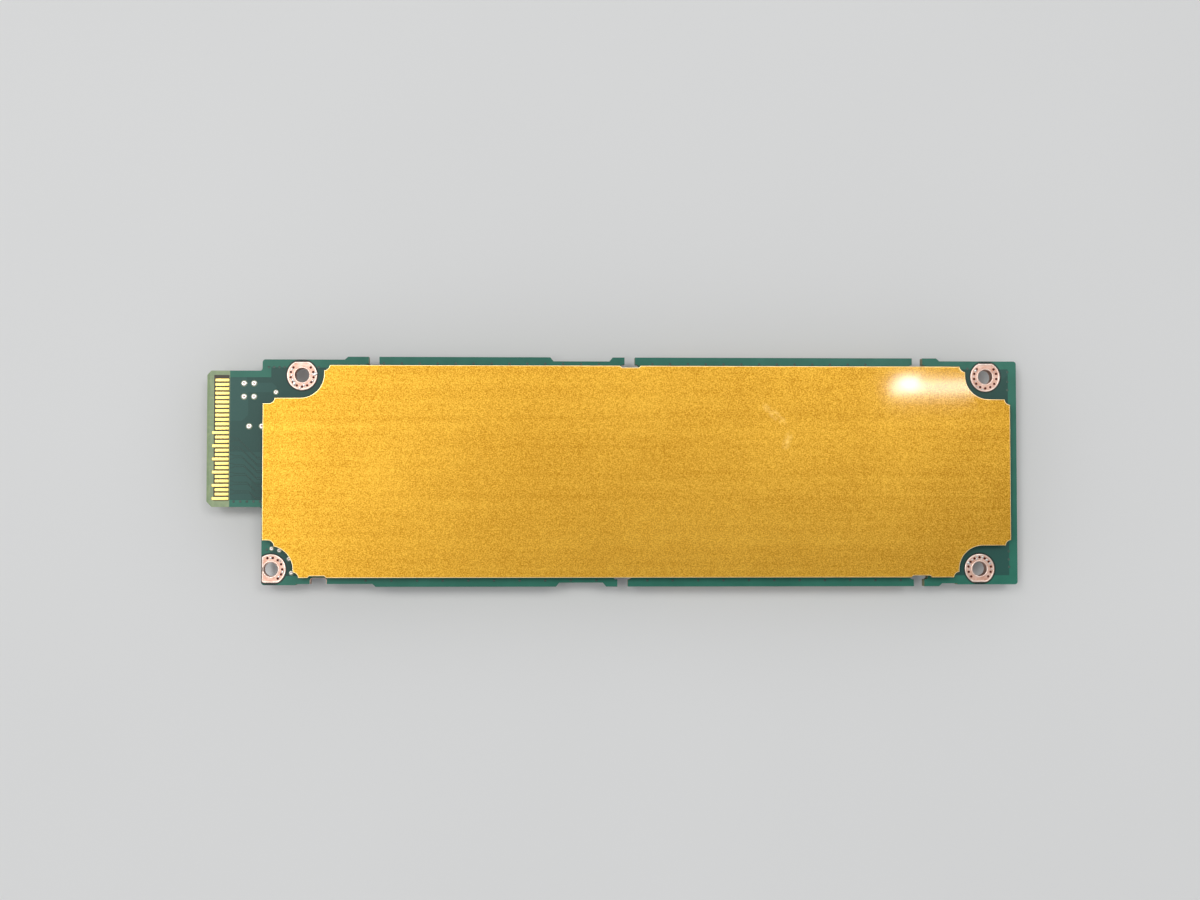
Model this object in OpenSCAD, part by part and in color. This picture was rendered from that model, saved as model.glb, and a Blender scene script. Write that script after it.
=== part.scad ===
// Enterprise solid state drive on a bare card: a routed circuit board with a card-edge tab,
// a gold anodised heat spreader bonded over the memory on the upper side, and the power
// parts, the hold-up capacitors and the rest of the memory on the lower side.
// Frame: X runs along the card with the tab at -X, and Z points up through the spreader.
// The origin is under the middle of the card, on the plane its tallest lower parts rest on.

/* [Board] */
// Length of the card over its tab
board_l = 111.49; // [109:0.01:118]
// Width of the card over its edge ledges
board_w = 31.5; // [31:0.1:35]
// How far the edge ledges stand out beyond the plain edges
ledge_h = 0.4; // [0.3:0.05:0.6]
// Thickness of the laminate
board_t = 1.57; // [1:0.01:2.4]
// Radius of the card's outer corners
corner_r = 0.4; // [0.2:0.05:0.8]
// How far the two lower corners stand proud of the plain edge
lower_step = 0.15; // [0.05:0.01:0.25]
// Length of the proud stretch at the lower left corner
lower_step_left_l = 4.7; // [3.5:0.1:6]
// Length of the proud stretch at the lower right corner
lower_step_right_l = 8.4; // [7.5:0.1:9.5]

/* [Card-edge tab] */
// Length of the tab, from the shoulder to its leading edge
tab_l = 7.55; // [7:0.05:9]
// Width of the tab
tab_w = 18.65; // [18.3:0.05:20]
// Distance from the card's upper ledges to the tab's upper side
tab_inset = 1.95; // [1.5:0.05:3]
// Chamfer on the tab's upper leading corner
tab_upper_chamfer = 0.6; // [0.3:0.05:1]
// Chamfer on the tab's lower leading corner
tab_lower_chamfer = 0.75; // [0.3:0.05:1]
// Radius in the two corners between tab and shoulder
shoulder_r = 0.35; // [0.2:0.05:0.6]
// Length of the bevel on the leading edge
bevel_l = 0.4; // [0.2:0.05:0.6]
// Depth of the bevel on each face
bevel_d = 0.25; // [0.1:0.05:0.4]

/* [Edge ledges] */
// Length of each ledge's end ramp
ledge_ramp = 0.45; // [0.2:0.05:0.8]
// Upper edge, from the shoulder to the first ledge
upper_ledge_start = 11.2; // [10:0.1:12.5]
// Upper edge, from the shoulder to the recess between the ledges
upper_recess_start = 39.8; // [38:0.1:41]
// Upper edge, length of that recess
upper_recess_l = 7.7; // [5:0.1:8.2]
// Upper edge, from the second ledge to the far end of the card
upper_ledge_end = 10.7; // [10:0.1:11.8]
// Lower edge, from the shoulder to the first ledge
lower_ledge_start = 15.1; // [13:0.1:17]
// Lower edge, from the shoulder to the recess between the ledges
lower_recess_start = 40.6; // [39:0.1:42]
// Lower edge, length of that recess
lower_recess_l = 6.0; // [4:0.1:6.5]
// Lower edge, from the second ledge to the far end of the card
lower_ledge_end = 10.5; // [9.8:0.1:11.6]
// Depth of both recesses below the ledges
recess_d = 0.55; // [0.45:0.05:0.8]

/* [Edge slots] */
// Width of a clip slot's neck
slot_neck_w = 1.45; // [1.1:0.05:1.7]
// Depth of the neck, from the ledge to the slot's cross bar
slot_neck_d = 0.95; // [0.8:0.05:1.1]
// Length of the cross bar
slot_bar_w = 2.5; // [2.2:0.05:2.9]
// Height of the cross bar, which is as wide as the router bit
slot_bar_d = 0.8; // [0.6:0.05:0.85]
// Upper edge, from the shoulder to the first clip slot
upper_slot_1 = 15.2; // [14:0.1:16.5]
// Upper edge, from the shoulder to the second clip slot
upper_slot_2 = 50.3; // [49.6:0.1:52]
// Upper edge, from the third clip slot to the far end
upper_slot_3 = 13.8; // [13.2:0.1:14.4]
// Lower edge, from the shoulder to the middle clip slot
lower_slot_1 = 49.3; // [48.8:0.1:52]
// Lower edge, from the last clip slot to the far end
lower_slot_2 = 13.7; // [13.2:0.1:14.4]
// Lower edge, from the shoulder to the plated slot
plated_slot = 7.75; // [7.4:0.05:8.2]
// Width of the plated slot
plated_slot_w = 2.2; // [1.6:0.1:2.6]
// Depth of the plated slot below the plain edge
plated_slot_d = 0.8; // [0.6:0.05:1]
// Radius of the plated slot's inner corners
plated_slot_r = 0.35; // [0.2:0.05:0.5]

/* [Mask and copper] */
// Thickness of the solder mask
mask_t = 0.03; // [0.02:0.005:0.05]
// Bare laminate at the leading edge, before the mask starts
bare_l = 3.15; // [3.1:0.05:3.8]
// Gap between a pad and the mask round it
mask_gap = 0.06; // [0.03:0.01:0.1]
// Thickness of the plated copper on pads and in holes
copper_t = 0.05; // [0.035:0.005:0.08]

/* [Edge contacts] */
// Number of contacts on each face
contact_n = 28; // [20:1:28]
// Spacing of the contacts
contact_pitch = 0.6; // [0.5:0.01:0.62]
// Width of a contact
contact_w = 0.42; // [0.3:0.01:0.46]
// From the tab's upper side to the first contact's middle
contact_inset = 1.3; // [1:0.05:1.45]
// From the leading edge to the inner end of every contact
contact_root = 3.05; // [2.8:0.05:3.1]
// Length of a short, second-mate contact
contact_short_l = 1.9; // [1.4:0.05:2.1]
// Length of a long, first-mate contact
contact_long_l = 2.3; // [2.1:0.05:2.5]

/* [Screw pads] */
// Radius of the finished screw hole
screw_hole_r = 1; // [0.8:0.05:1.1]
// Radius of the round pad
screw_pad_r = 2.05; // [1.95:0.05:2.1]
// From the hole to the flat on the pad's side next to the card's edge
screw_pad_flat = 1.82; // [1.7:0.01:1.9]
// From the lower left hole to the flat that faces the tab's side
screw_pad_left_flat = 1.18; // [1.15:0.01:1.2]
// Upper screw holes, from the ledges
upper_hole_inset = 2.55; // [2.5:0.05:2.8]
// Lower screw holes, from the ledges
lower_hole_inset = 2.4; // [2.4:0.05:2.7]
// Upper left hole, from the shoulder
upper_left_hole = 5.38; // [5.2:0.01:5.8]
// Lower left hole, from the shoulder
lower_left_hole = 1.28; // [1.26:0.01:1.5]
// Upper right hole, from the far end
upper_right_hole = 4.3; // [4:0.05:5]
// Lower right hole, from the far end
lower_right_hole = 5.28; // [5:0.01:5.6]
// Radius of the circle that the stitching vias lie on
stitch_r = 1.6; // [1.45:0.05:1.7]
// Radius of a stitching via's mouth
stitch_via_r = 0.12; // [0.08:0.01:0.15]
// Angle from one stitching via to the next
stitch_step = 26.4; // [24:0.1:27]

/* [Heat spreader] */
// Thickness of the sheet
spreader_t = 0.6; // [0.4:0.05:1]
// Sheet's left edge, from the shoulder
spreader_left = 0.3; // [0.2:0.05:0.5]
// Sheet's right edge, from the far end
spreader_right = 1.3; // [1:0.05:1.5]
// Sheet's long edges, from the ledges
spreader_side = 1.25; // [1.1:0.05:1.5]
// Radius of the corner cut-outs round the screw holes
spreader_cut_r = 3.2; // [2.8:0.05:3.4]
// Radius of the relief at each end of a cut-out
spreader_relief_r = 0.75; // [0.5:0.05:0.85]
// From the sheet's left edge to the two reliefs there
spreader_left_relief = 0.85; // [0.7:0.05:1]
// Depth of the notches beside the clip slots
spreader_notch_d = 0.25; // [0.15:0.01:0.35]
// How far a notch runs past its slot at each end
spreader_notch_over = 0.15; // [0.05:0.01:0.3]

/* [Memory packages] */
// Flash package, size along the card
flash_l = 14; // [13:0.1:14.5]
// Flash package, size across the card
flash_w = 18; // [16:0.1:18.2]
// Thickness of a flash package's body
flash_t = 0.75; // [0.6:0.05:0.9]
// Spacing of the flash packages along the card
flash_pitch = 17; // [16.6:0.1:17.2]
// First flash package, from the shoulder
flash_first = 34.7; // [34:0.1:35.2]
// Height of the solder joints and underfill below a package
joint_h = 0.22; // [0.15:0.01:0.3]
// How far the underfill stands back from a package's edge
underfill_inset = 0.5; // [0.3:0.05:1]
// Working memory package, size along the card
dram_l = 7.5; // [7:0.1:8]
// Working memory package, size across the card
dram_w = 13.3; // [12:0.1:13.5]
// Thickness of a working memory package's body
dram_t = 0.8; // [0.6:0.05:1]
// Working memory packages, from the shoulder
dram_x = 22.1; // [21.8:0.1:22.3]
// Gap between the two working memory packages
dram_gap = 1.1; // [0.8:0.05:1.4]

/* [Controller] */
// Side of the controller's square substrate
controller_w = 17; // [15:0.1:17.5]
// Thickness of the substrate
substrate_t = 0.3; // [0.2:0.05:0.35]
// Side of the moulded cap on the substrate
cap_w = 16; // [14:0.1:16.2]
// Controller, from the shoulder
controller_x = 17.0; // [16.5:0.1:17.3]

/* [Thermal pads] */
// Thickness of the thermal pads
thermal_t = 0.25; // [0.15:0.01:0.5]
// How far a pad stands back from its package's edge
thermal_inset = 0.5; // [0.2:0.05:1.5]

/* [Hold-up capacitors] */
// Length of a capacitor over its terminals
holdup_l = 7.3; // [6.5:0.1:7.6]
// Width of a capacitor
holdup_w = 4.3; // [3.5:0.1:4.4]
// Height of a capacitor above the mask
holdup_h = 2.45; // [1.9:0.05:3]
// Spacing of the capacitors along the card
holdup_pitch = 8.8; // [8:0.1:9]
// First capacitor of each row, from the shoulder
holdup_first = 57.7; // [57:0.1:58.5]
// Number of capacitors in each row
holdup_n = 4; // [2:1:4]
// Gap between a row of capacitors and the flash packages
holdup_gap = 0.55; // [0.4:0.05:0.7]
// Width of a capacitor's terminal
holdup_lead_w = 2.4; // [1.8:0.1:3]
// Thickness of a capacitor's terminal
holdup_lead_t = 0.12; // [0.08:0.01:0.2]
// Length of the terminal's foot under the body
holdup_foot_l = 1.3; // [0.8:0.1:1.8]
// Chamfer along the upper edges of the moulded body
holdup_chamfer = 0.25; // [0.1:0.05:0.4]

/* [Power inductors] */
// Side of an inductor's body
inductor_w = 4.2; // [3.6:0.1:4.6]
// Height of an inductor above the mask
inductor_h = 2.45; // [1.9:0.05:3]
// Radius of the body's upright edges
inductor_r = 0.35; // [0.2:0.05:0.6]
// Spacing of the inductors across the card
inductor_pitch = 5.8; // [5.2:0.1:5.9]
// Number of inductors
inductor_n = 4; // [2:1:4]
// Inductors, from the shoulder
inductor_x = 8; // [7.8:0.1:8.3]
// Lowest inductor, from the lower ledges
inductor_first = 4.4; // [4.2:0.1:4.8]
// Width of an inductor's terminal
inductor_lead_w = 1.6; // [1:0.1:2.4]
// Thickness of an inductor's terminal
inductor_lead_t = 0.12; // [0.08:0.01:0.2]

/* [Power and control chips] */
// Side of the power manager
manager_w = 6; // [5:0.1:6.2]
// Thickness of the leadless packages
leadless_t = 0.85; // [0.7:0.05:1]
// Side of the two power converters
converter_w = 4; // [3:0.1:4.2]
// Column of control chips, from the shoulder
chip_column = 14.1; // [13.9:0.05:14.2]
// Power manager, across the card from its middle line
manager_y = 2.2; // [2:0.1:2.6]
// Boost converter, across the card from its middle line
boost_y = -4.4; // [-4.8:0.1:-4]
// Crystal, across the card from its middle line
crystal_y = 8.1; // [7.9:0.1:8.4]
// Temperature sensor, across the card from its middle line
sensor_y = 11.9; // [11.7:0.1:12.4]
// Boot memory, across the card from its middle line
boot_y = -10.6; // [-11.2:0.1:-10.4]
// Inlet switch, from the shoulder
inlet_x = 3.2; // [3:0.1:3.4]
// Inlet switch, across the card from its middle line
inlet_y = 5.6; // [5.2:0.1:6]
// Spacing of a leadless package's terminals
lead_pitch = 0.5; // [0.4:0.05:0.65]
// Width of a leadless package's terminal
lead_w = 0.25; // [0.15:0.01:0.3]
// How far a terminal stands out from its package
lead_out = 0.06; // [0.03:0.01:0.1]
// Boot memory, length of its body across the card
boot_l = 4.9; // [4:0.1:5]
// Boot memory, width of its body between the leads
boot_w = 3.9; // [3:0.1:4]
// Boot memory, height over its body
boot_h = 1.5; // [1.2:0.05:1.8]
// Boot memory, reach of a lead beyond the body
boot_lead_l = 1.0; // [0.6:0.05:1.05]
// Boot memory, spacing of the leads
boot_pitch = 1.27; // [1:0.01:1.3]
// Boot memory, width of a lead
boot_lead_w = 0.4; // [0.3:0.01:0.5]
// Thickness of a lead of the boot memory
boot_lead_t = 0.18; // [0.1:0.01:0.25]

/* [Small parts] */
// Length of a small ceramic chip
small_l = 1; // [0.8:0.05:1.2]
// Width and height of a small ceramic chip
small_w = 0.5; // [0.3:0.05:0.6]
// Length of a medium ceramic chip
medium_l = 1.6; // [1.2:0.05:2]
// Width and height of a medium ceramic chip
medium_w = 0.8; // [0.6:0.05:0.9]
// Length of a large ceramic chip
large_l = 3.2; // [2.4:0.1:3.4]
// Width and height of a large ceramic chip
large_w = 1.6; // [1.2:0.05:1.8]
// Length of a signal coupling chip
coupling_l = 0.6; // [0.4:0.05:0.8]
// Width and height of a signal coupling chip
coupling_w = 0.3; // [0.2:0.01:0.35]
// Height of a chip resistor
resistor_h = 0.35; // [0.25:0.05:0.5]
// Part of a chip's length that each of its end caps takes
cap_share = 0.24; // [0.15:0.01:0.35]
// Clear height between a chip's body and the mask
chip_lift = 0.03; // [0.02:0.005:0.06]
// Length of the crystal's case
crystal_l = 3.2; // [2.5:0.1:3.4]
// Width of the crystal's case
crystal_w = 2.5; // [2:0.1:2.8]
// Height of the crystal's ceramic base
crystal_base_t = 0.45; // [0.3:0.05:0.6]
// Height of the crystal's metal lid
crystal_lid_t = 0.3; // [0.2:0.05:0.5]
// Side of the temperature sensor
sensor_w = 2; // [1.5:0.1:2.2]
// Length of a status light
led_l = 1.6; // [1.2:0.1:2]
// Width of a status light
led_w = 0.8; // [0.6:0.05:1]
// Height of a status light
led_h = 0.6; // [0.4:0.05:0.8]
// Status lights, from the far end
led_inset = 1.6; // [1.2:0.05:1.8]
// Spacing of the two status lights
led_spacing = 3.2; // [2:0.1:5]

/* [Chip rows] */
// Gap between a package and a row of small chips
small_gap = 0.5; // [0.3:0.05:0.7]
// Spacing of the small chips in a row
small_pitch = 2; // [1.4:0.1:2.2]
// Gap between a package and a row of medium chips
medium_gap = 0.6; // [0.4:0.05:0.8]
// Spacing of the medium chips in a row
medium_pitch = 2.4; // [2:0.1:2.6]
// Gap between the flash packages and the outer rows on the upper side
outer_gap = 1.7; // [1:0.1:2.4]
// Spacing of the chips in those outer rows
outer_pitch = 4.4; // [3:0.1:5]
// Gap between a row of medium chips and the row of large ones beside it
large_gap = 0.9; // [0.5:0.1:1.2]
// Spacing of the large chips in a row
large_pitch = 3.9; // [3.6:0.1:4]
// Large chips at the supply inlet, from the shoulder
supply_x = 2.9; // [2.4:0.1:3.4]
// First large chip at the supply inlet, below the middle line
supply_y = 1.2; // [1:0.1:1.6]
// Spacing of the large chips at the supply inlet
supply_pitch = 2.5; // [2.2:0.1:2.8]
// Row of coupling chips, from the shoulder out onto the tab
coupling_x = 1.9; // [1.7:0.1:2.2]
// First coupling chip, from the tab's upper side
coupling_y = 3.2; // [2.8:0.1:3.6]
// Spacing of the coupling chips
coupling_pitch = 0.8; // [0.6:0.05:0.9]
// Spacing of the resistors behind the flash packages
resistor_pitch = 1.3; // [1:0.1:1.5]
// Spacing of the resistors beside the working memory
memory_resistor_pitch = 3; // [2:0.1:3.2]
// Resistors beside the inlet switch, from the shoulder
inlet_resistor_x = 0.9; // [0.7:0.05:1.2]
// Spacing of those resistors
inlet_resistor_pitch = 0.85; // [0.8:0.05:1]
// Gap between the inlet switch and those resistors
inlet_resistor_gap = 0.7; // [0.4:0.05:1]

/* [Test pads] */
// Diameter of the test pads on the tab
test_pad_d = 0.76; // [0.6:0.01:0.9]
// Diameter of the single test pad inside the shoulder
shoulder_pad_d = 0.63; // [0.5:0.01:0.8]
// Diameter of the test pads round the lower left screw
corner_pad_d = 0.56; // [0.4:0.01:0.6]
// Diameter of the via mouth in the middle of each pad
pad_via_d = 0.18; // [0.1:0.01:0.25]
// Inner column of the test grid, from the shoulder out onto the tab
grid_x = 1.14; // [0.9:0.01:1.4]
// Spacing of the test grid's columns
grid_pitch_x = 1.36; // [1.1:0.01:1.5]
// First row of the test grid, from the tab's upper side
grid_y = 1.74; // [1.4:0.01:2]
// Spacing of the test grid's rows
grid_pitch_y = 1.82; // [1.4:0.01:2]
// Outer pad of the pair below the grid, from the shoulder out onto the tab
pair_x = 1.79; // [1.4:0.01:2.2]
// Spacing of that pair
pair_pitch = 1.74; // [1.2:0.01:1.9]
// That pair, from the tab's upper side
pair_y = 7.62; // [7:0.01:8.2]
// Single pad, from the shoulder into the card
single_x = 1.84; // [1.6:0.01:2.1]
// Single pad, from the tab's upper side
single_y = 2.95; // [2.6:0.01:3.4]
// Pads round the lower left screw, from the middle of its hole
corner_pad_ring = 2.84; // [2.6:0.01:2.9]
// Inner column of the service field, from the far end
service_x = 5.4; // [5.2:0.1:5.8]
// Number of pads in each row of the service field on the lower side
service_n = 5; // [3:1:6]
// Spacing of the service field's pads
service_pitch = 1.9; // [1.4:0.1:2]
// Diameter of the service field's pads
service_d = 1; // [0.8:0.05:1.2]

/* [Hidden] */
$fn = 64;
// Run-out of a cutter past the face that it starts from
over = 1;

// Ends and edges of the board
board_x0 = -board_l / 2;
board_x1 = board_l / 2;
shoulder_x = board_x0 + tab_l;
ledge_y = board_w / 2;
side_y = ledge_y - ledge_h;
tab_y1 = ledge_y - tab_inset;
tab_y0 = tab_y1 - tab_w;

// Levels, counted up from the plane that the tallest lower parts rest on
board_z = mask_t + max(holdup_h, inductor_h);
board_top = board_z + board_t;
upper_z = board_top + mask_t;
lower_z = board_z - mask_t;
package_z = joint_h;
thermal_z = package_z + flash_t;
spreader_z = upper_z + thermal_z + thermal_t;

// Screw holes, each as [x, y]
upper_left_at = [shoulder_x + upper_left_hole, ledge_y - upper_hole_inset];
lower_left_at = [shoulder_x + lower_left_hole, lower_hole_inset - ledge_y];
upper_right_at = [board_x1 - upper_right_hole, ledge_y - upper_hole_inset];
lower_right_at = [board_x1 - lower_right_hole, lower_hole_inset - ledge_y];
// Number of stitching vias round a pad with one flat, and round the one with two
stitch_n = 11;
stitch_corner_n = 7;

// Clip slots on each edge, as places along X
upper_slots = [shoulder_x + upper_slot_1, shoulder_x + upper_slot_2, board_x1 - upper_slot_3];
lower_slots = [shoulder_x + lower_slot_1, board_x1 - lower_slot_2];
plated_x = shoulder_x + plated_slot;

// Sheet edges
spreader_x0 = shoulder_x + spreader_left;
spreader_x1 = board_x1 - spreader_right;
spreader_y = ledge_y - spreader_side;

// Packages
flash_n = 4;
function flash_x(i) = shoulder_x + flash_first + (i - 1) * flash_pitch;
controller_at = shoulder_x + controller_x;
dram_at = shoulder_x + dram_x;
dram_y = (dram_w + dram_gap) / 2;
cap_t = flash_t - substrate_t;
holdup_y = flash_w / 2 + holdup_gap + holdup_w / 2;
function holdup_x(i) = shoulder_x + holdup_first + i * holdup_pitch;
inductor_at = shoulder_x + inductor_x;
function inductor_y(i) = inductor_first - ledge_y + i * inductor_pitch;
column_x = shoulder_x + chip_column;
inlet_at = shoulder_x + inlet_x;

// Test pads on the upper side, as [x from the shoulder, y from the tab's upper side, diameter]
test_pads = concat(
    [for (i = [0, 1], j = [0, 1])
        [-grid_x - i * grid_pitch_x, -grid_y - j * grid_pitch_y, test_pad_d]],
    [for (i = [0, 1]) [i * pair_pitch - pair_x, -pair_y, test_pad_d]],
    [[single_x, -single_y, shoulder_pad_d]]
);
// Directions of the test pads round the lower left screw
corner_pad_angles = [88, 66, 30, 350];
service_at = board_x1 - service_x;

// Chip rows. A row gives its chips as [x, y, length, width, height, turned]; off counts the
// chips from the middle of a row of n.
function off(n) = [for (k = [0:n - 1]) k - (n - 1) / 2];
function column(x, ys, l, w) = [for (y = ys) [x, y, l, w, w, 0]];
function row(xs, y, l, w) = [for (x = xs) [x, y, l, w, w, 0]];
flash_gaps = [for (i = [1:flash_n - 1]) flash_x(i) + flash_pitch / 2];
flash_x0 = flash_x(1) - flash_l / 2;
ahead_x = flash_x0 - small_gap - small_l / 2;
behind_x = flash_x(flash_n) + flash_l / 2 + medium_gap + medium_l / 2;
medium_row_y = flash_w / 2 + medium_gap + medium_w / 2;
large_row_y = medium_row_y + medium_w / 2 + large_gap + large_w / 2;
upper_chips = concat(
    [for (x = flash_gaps) each column(x, small_pitch * off(9), small_l, small_w)],
    column(ahead_x, small_pitch * off(9), small_l, small_w),
    column(controller_at - controller_w / 2 - medium_gap - medium_l / 2, medium_pitch * off(7),
        medium_l, medium_w),
    column(behind_x, medium_pitch * off(7), medium_l, medium_w),
    [for (s = [-1, 1]) each row([for (i = [1:flash_n], k = off(3)) flash_x(i) + outer_pitch * k],
        s * (flash_w / 2 + outer_gap + medium_w / 2), medium_l, medium_w)],
    [for (s = [-1, 1]) each row([for (k = off(7)) controller_at + small_pitch * k],
        s * (controller_w / 2 + small_gap + small_w / 2), small_l, small_w)]
);
lower_chips = concat(
    [for (x = flash_gaps) each column(x, small_pitch * off(9), small_l, small_w)],
    column(ahead_x, small_pitch * off(13), small_l, small_w),
    [for (s = [-1, 1]) each row([for (k = [0:5]) flash_x0 + medium_l / 2 + medium_pitch * k],
        s * medium_row_y, medium_l, medium_w)],
    [for (s = [-1, 1]) each row([for (k = [0:3]) flash_x0 + large_l / 2 + large_pitch * k],
        s * large_row_y, large_l, large_w)],
    column(shoulder_x + supply_x, [for (k = [0:2]) -supply_y - supply_pitch * k], large_l, large_w),
    column(shoulder_x - coupling_x, [for (k = [0:15]) tab_y1 - coupling_y - coupling_pitch * k],
        coupling_l, coupling_w)
);
resistors = concat(
    [for (y = resistor_pitch * off(9)) [behind_x, y, small_l, small_w, resistor_h, 0]],
    [for (k = [0:2]) [shoulder_x + inlet_resistor_x + inlet_resistor_pitch * k,
        inlet_y + converter_w / 2 + inlet_resistor_gap + small_l / 2, small_l, small_w, resistor_h, 90]],
    [for (y = memory_resistor_pitch * off(6)) [dram_at - dram_l / 2 - small_gap - small_w / 2, y,
        small_l, small_w, resistor_h, 90]]
);

// Plain shapes that several parts share

// Rectangle with true round corners, centred on the origin
module round_rect(l, w, r) {
    union() {
        square([l - 2 * r, w], center = true);
        square([l, w - 2 * r], center = true);
        for (sx = [-1, 1], sy = [-1, 1])
            translate([sx * (l / 2 - r), sy * (w / 2 - r)]) circle(r = r);
    }
}

// Block centred on X and Y that stands on Z = 0
module block(l, w, h) {
    translate([-l / 2, -w / 2, 0]) cube([l, w, h]);
}

// What is left between a square corner and the round that takes its place
module corner_waste(r) {
    difference() {
        translate([-over, -over]) square(r + over);
        translate([r, r]) circle(r = r);
    }
}

// Web that fills an inner corner with a round
module corner_web(r) {
    difference() {
        translate([-r / 2, -r / 2]) square(1.5 * r);
        translate([r, r]) circle(r = r);
    }
}

// Stands a part on the upper mask
module on_upper() {
    translate([0, 0, upper_z]) children();
}

// Hangs a part from the lower mask, with its own +Z pointing away from the board
module on_lower() {
    translate([0, 0, lower_z]) mirror([0, 0, 1]) children();
}

// Board outline

// Puts a cut or a ledge on one long edge: side is 1 above and -1 below, and its +Y points out
module at_edge(x, side) {
    translate([x, side * ledge_y]) mirror([0, side > 0 ? 0 : 1]) children();
}

// Raised stretch of an edge with ramped ends, from x0 to x1; its points run anticlockwise
module ledge(x0, x1, side) {
    ends = side > 0 ? [x0, x1] : [x1, x0];
    ramp = side * ledge_ramp;
    polygon([[ends[0], side * (side_y - over)], [ends[1], side * (side_y - over)],
        [ends[1], side * side_y], [ends[1] - ramp, side * ledge_y],
        [ends[0] + ramp, side * ledge_y], [ends[0], side * side_y]]);
}

// Shallow recess between two ledges, with ramped ends
module edge_recess(x0, l, side) {
    at_edge(x0, side) polygon([[-ledge_ramp, over], [-ledge_ramp, 0], [0, -recess_d],
        [l, -recess_d], [l + ledge_ramp, 0], [l + ledge_ramp, over]]);
}

// Routed slot for a case clip: a narrow neck and a cross bar with round ends behind it
module clip_slot(x, side) {
    at_edge(x, side) {
        translate([-slot_neck_w / 2, -slot_neck_d - slot_bar_d / 2])
            square([slot_neck_w, slot_neck_d + slot_bar_d / 2 + over]);
        translate([0, -slot_neck_d - slot_bar_d / 2]) {
            square([slot_bar_w - slot_bar_d, slot_bar_d], center = true);
            for (s = [-1, 1]) translate([s * (slot_bar_w - slot_bar_d) / 2, 0]) circle(d = slot_bar_d);
        }
    }
}

// Mouth of the plated slot, grown by g for the bare hole behind the plating
module plated_mouth(g) {
    depth = plated_slot_d + g;
    translate([plated_x, -side_y + depth - (depth + over) / 2])
        round_rect(plated_slot_w + 2 * g, depth + over, plated_slot_r + g);
}

// Board from the shoulder to the far end, before its slots are routed
module body_outline() {
    difference() {
        union() {
            translate([shoulder_x, -side_y]) square([board_x1 - shoulder_x, 2 * side_y]);
            translate([shoulder_x, -side_y - lower_step]) square([lower_step_left_l, over]);
            translate([board_x1 - lower_step_right_l, -side_y - lower_step])
                square([lower_step_right_l, over]);
            ledge(shoulder_x + upper_ledge_start, board_x1 - upper_ledge_end, 1);
            ledge(shoulder_x + lower_ledge_start, board_x1 - lower_ledge_end, -1);
        }
        translate([shoulder_x, side_y]) mirror([0, 1]) corner_waste(corner_r);
        translate([shoulder_x, -side_y - lower_step]) corner_waste(corner_r);
        translate([board_x1, side_y]) rotate(180) corner_waste(corner_r);
        translate([board_x1, -side_y - lower_step]) mirror([1, 0]) corner_waste(corner_r);
    }
}

// Tab with its two chamfered leading corners and the rounds at the shoulder
module tab_outline() {
    polygon([[board_x0 + tab_lower_chamfer, tab_y0], [shoulder_x + over, tab_y0],
        [shoulder_x + over, tab_y1], [board_x0 + tab_upper_chamfer, tab_y1],
        [board_x0, tab_y1 - tab_upper_chamfer], [board_x0, tab_y0 + tab_lower_chamfer]]);
    translate([shoulder_x, tab_y0]) rotate(180) corner_web(shoulder_r);
    translate([shoulder_x, tab_y1]) mirror([1, 0]) corner_web(shoulder_r);
}

module board_outline() {
    difference() {
        union() {
            body_outline();
            tab_outline();
        }
        edge_recess(shoulder_x + upper_recess_start, upper_recess_l, 1);
        edge_recess(shoulder_x + lower_recess_start, lower_recess_l, -1);
        for (x = upper_slots) clip_slot(x, 1);
        for (x = lower_slots) clip_slot(x, -1);
        plated_mouth(copper_t);
    }
}

// Laminate, drilled for the four plated screw holes and bevelled along its leading edge
module circuit_board() {
    color("darkseagreen") difference() {
        translate([0, 0, board_z]) linear_extrude(board_t) board_outline();
        for (at = [upper_left_at, lower_left_at, upper_right_at, lower_right_at])
            translate([at[0], at[1], board_z - over])
                cylinder(r = screw_hole_r + copper_t, h = board_t + 2 * over);
        for (face = [0, 1])
            translate([board_x0, tab_y1 + over, face * board_t + board_z]) mirror([0, 0, face])
                rotate([90, 0, 0]) linear_extrude(tab_w + 2 * over)
                    polygon([[-over, -over], [bevel_l, -over], [bevel_l, 0], [0, bevel_d],
                        [-over, bevel_d]]);
    }
}

// Copper and mask

// Outline of a screw pad: a disc with a flat towards each board edge that it nears
module screw_pad_shape(side, two_flats, g) {
    intersection() {
        circle(r = screw_pad_r + g);
        translate([two_flats ? -screw_pad_left_flat - g : -over - screw_pad_r,
            side > 0 ? -over - screw_pad_r : -screw_pad_flat - g])
            square([2 * screw_pad_r + 2 * over, screw_pad_flat + g + screw_pad_r + over]);
    }
}

// Plated hole: a barrel through the board with a pad on each face and its ring of vias
module screw_pad(at, side, two_flats) {
    first = two_flats ? 106 : side * 90 + 48;
    n = two_flats ? stitch_corner_n : stitch_n;
    turn = two_flats ? -1 : 1;
    translate([at[0], at[1], 0]) difference() {
        union() {
            translate([0, 0, board_z]) cylinder(r = screw_hole_r + copper_t, h = board_t);
            for (z = [board_z - copper_t, board_top]) translate([0, 0, z])
                linear_extrude(copper_t) screw_pad_shape(side, two_flats, 0);
        }
        translate([0, 0, board_z - over]) cylinder(r = screw_hole_r, h = board_t + 2 * over);
        for (i = [0:n - 1], z = [board_z - copper_t - over, board_top])
            rotate(first + turn * i * stitch_step) translate([stitch_r, 0, z])
                cylinder(r = stitch_via_r, h = copper_t + over);
    }
}

// Places of all test pads on the upper side, each as [x, y, diameter]
upper_pads = concat(
    [for (p = test_pads) [shoulder_x + p[0], tab_y1 + p[1], p[2]]],
    [for (a = corner_pad_angles) [lower_left_at[0] + corner_pad_ring * cos(a),
        lower_left_at[1] + corner_pad_ring * sin(a), corner_pad_d]]
);

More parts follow.
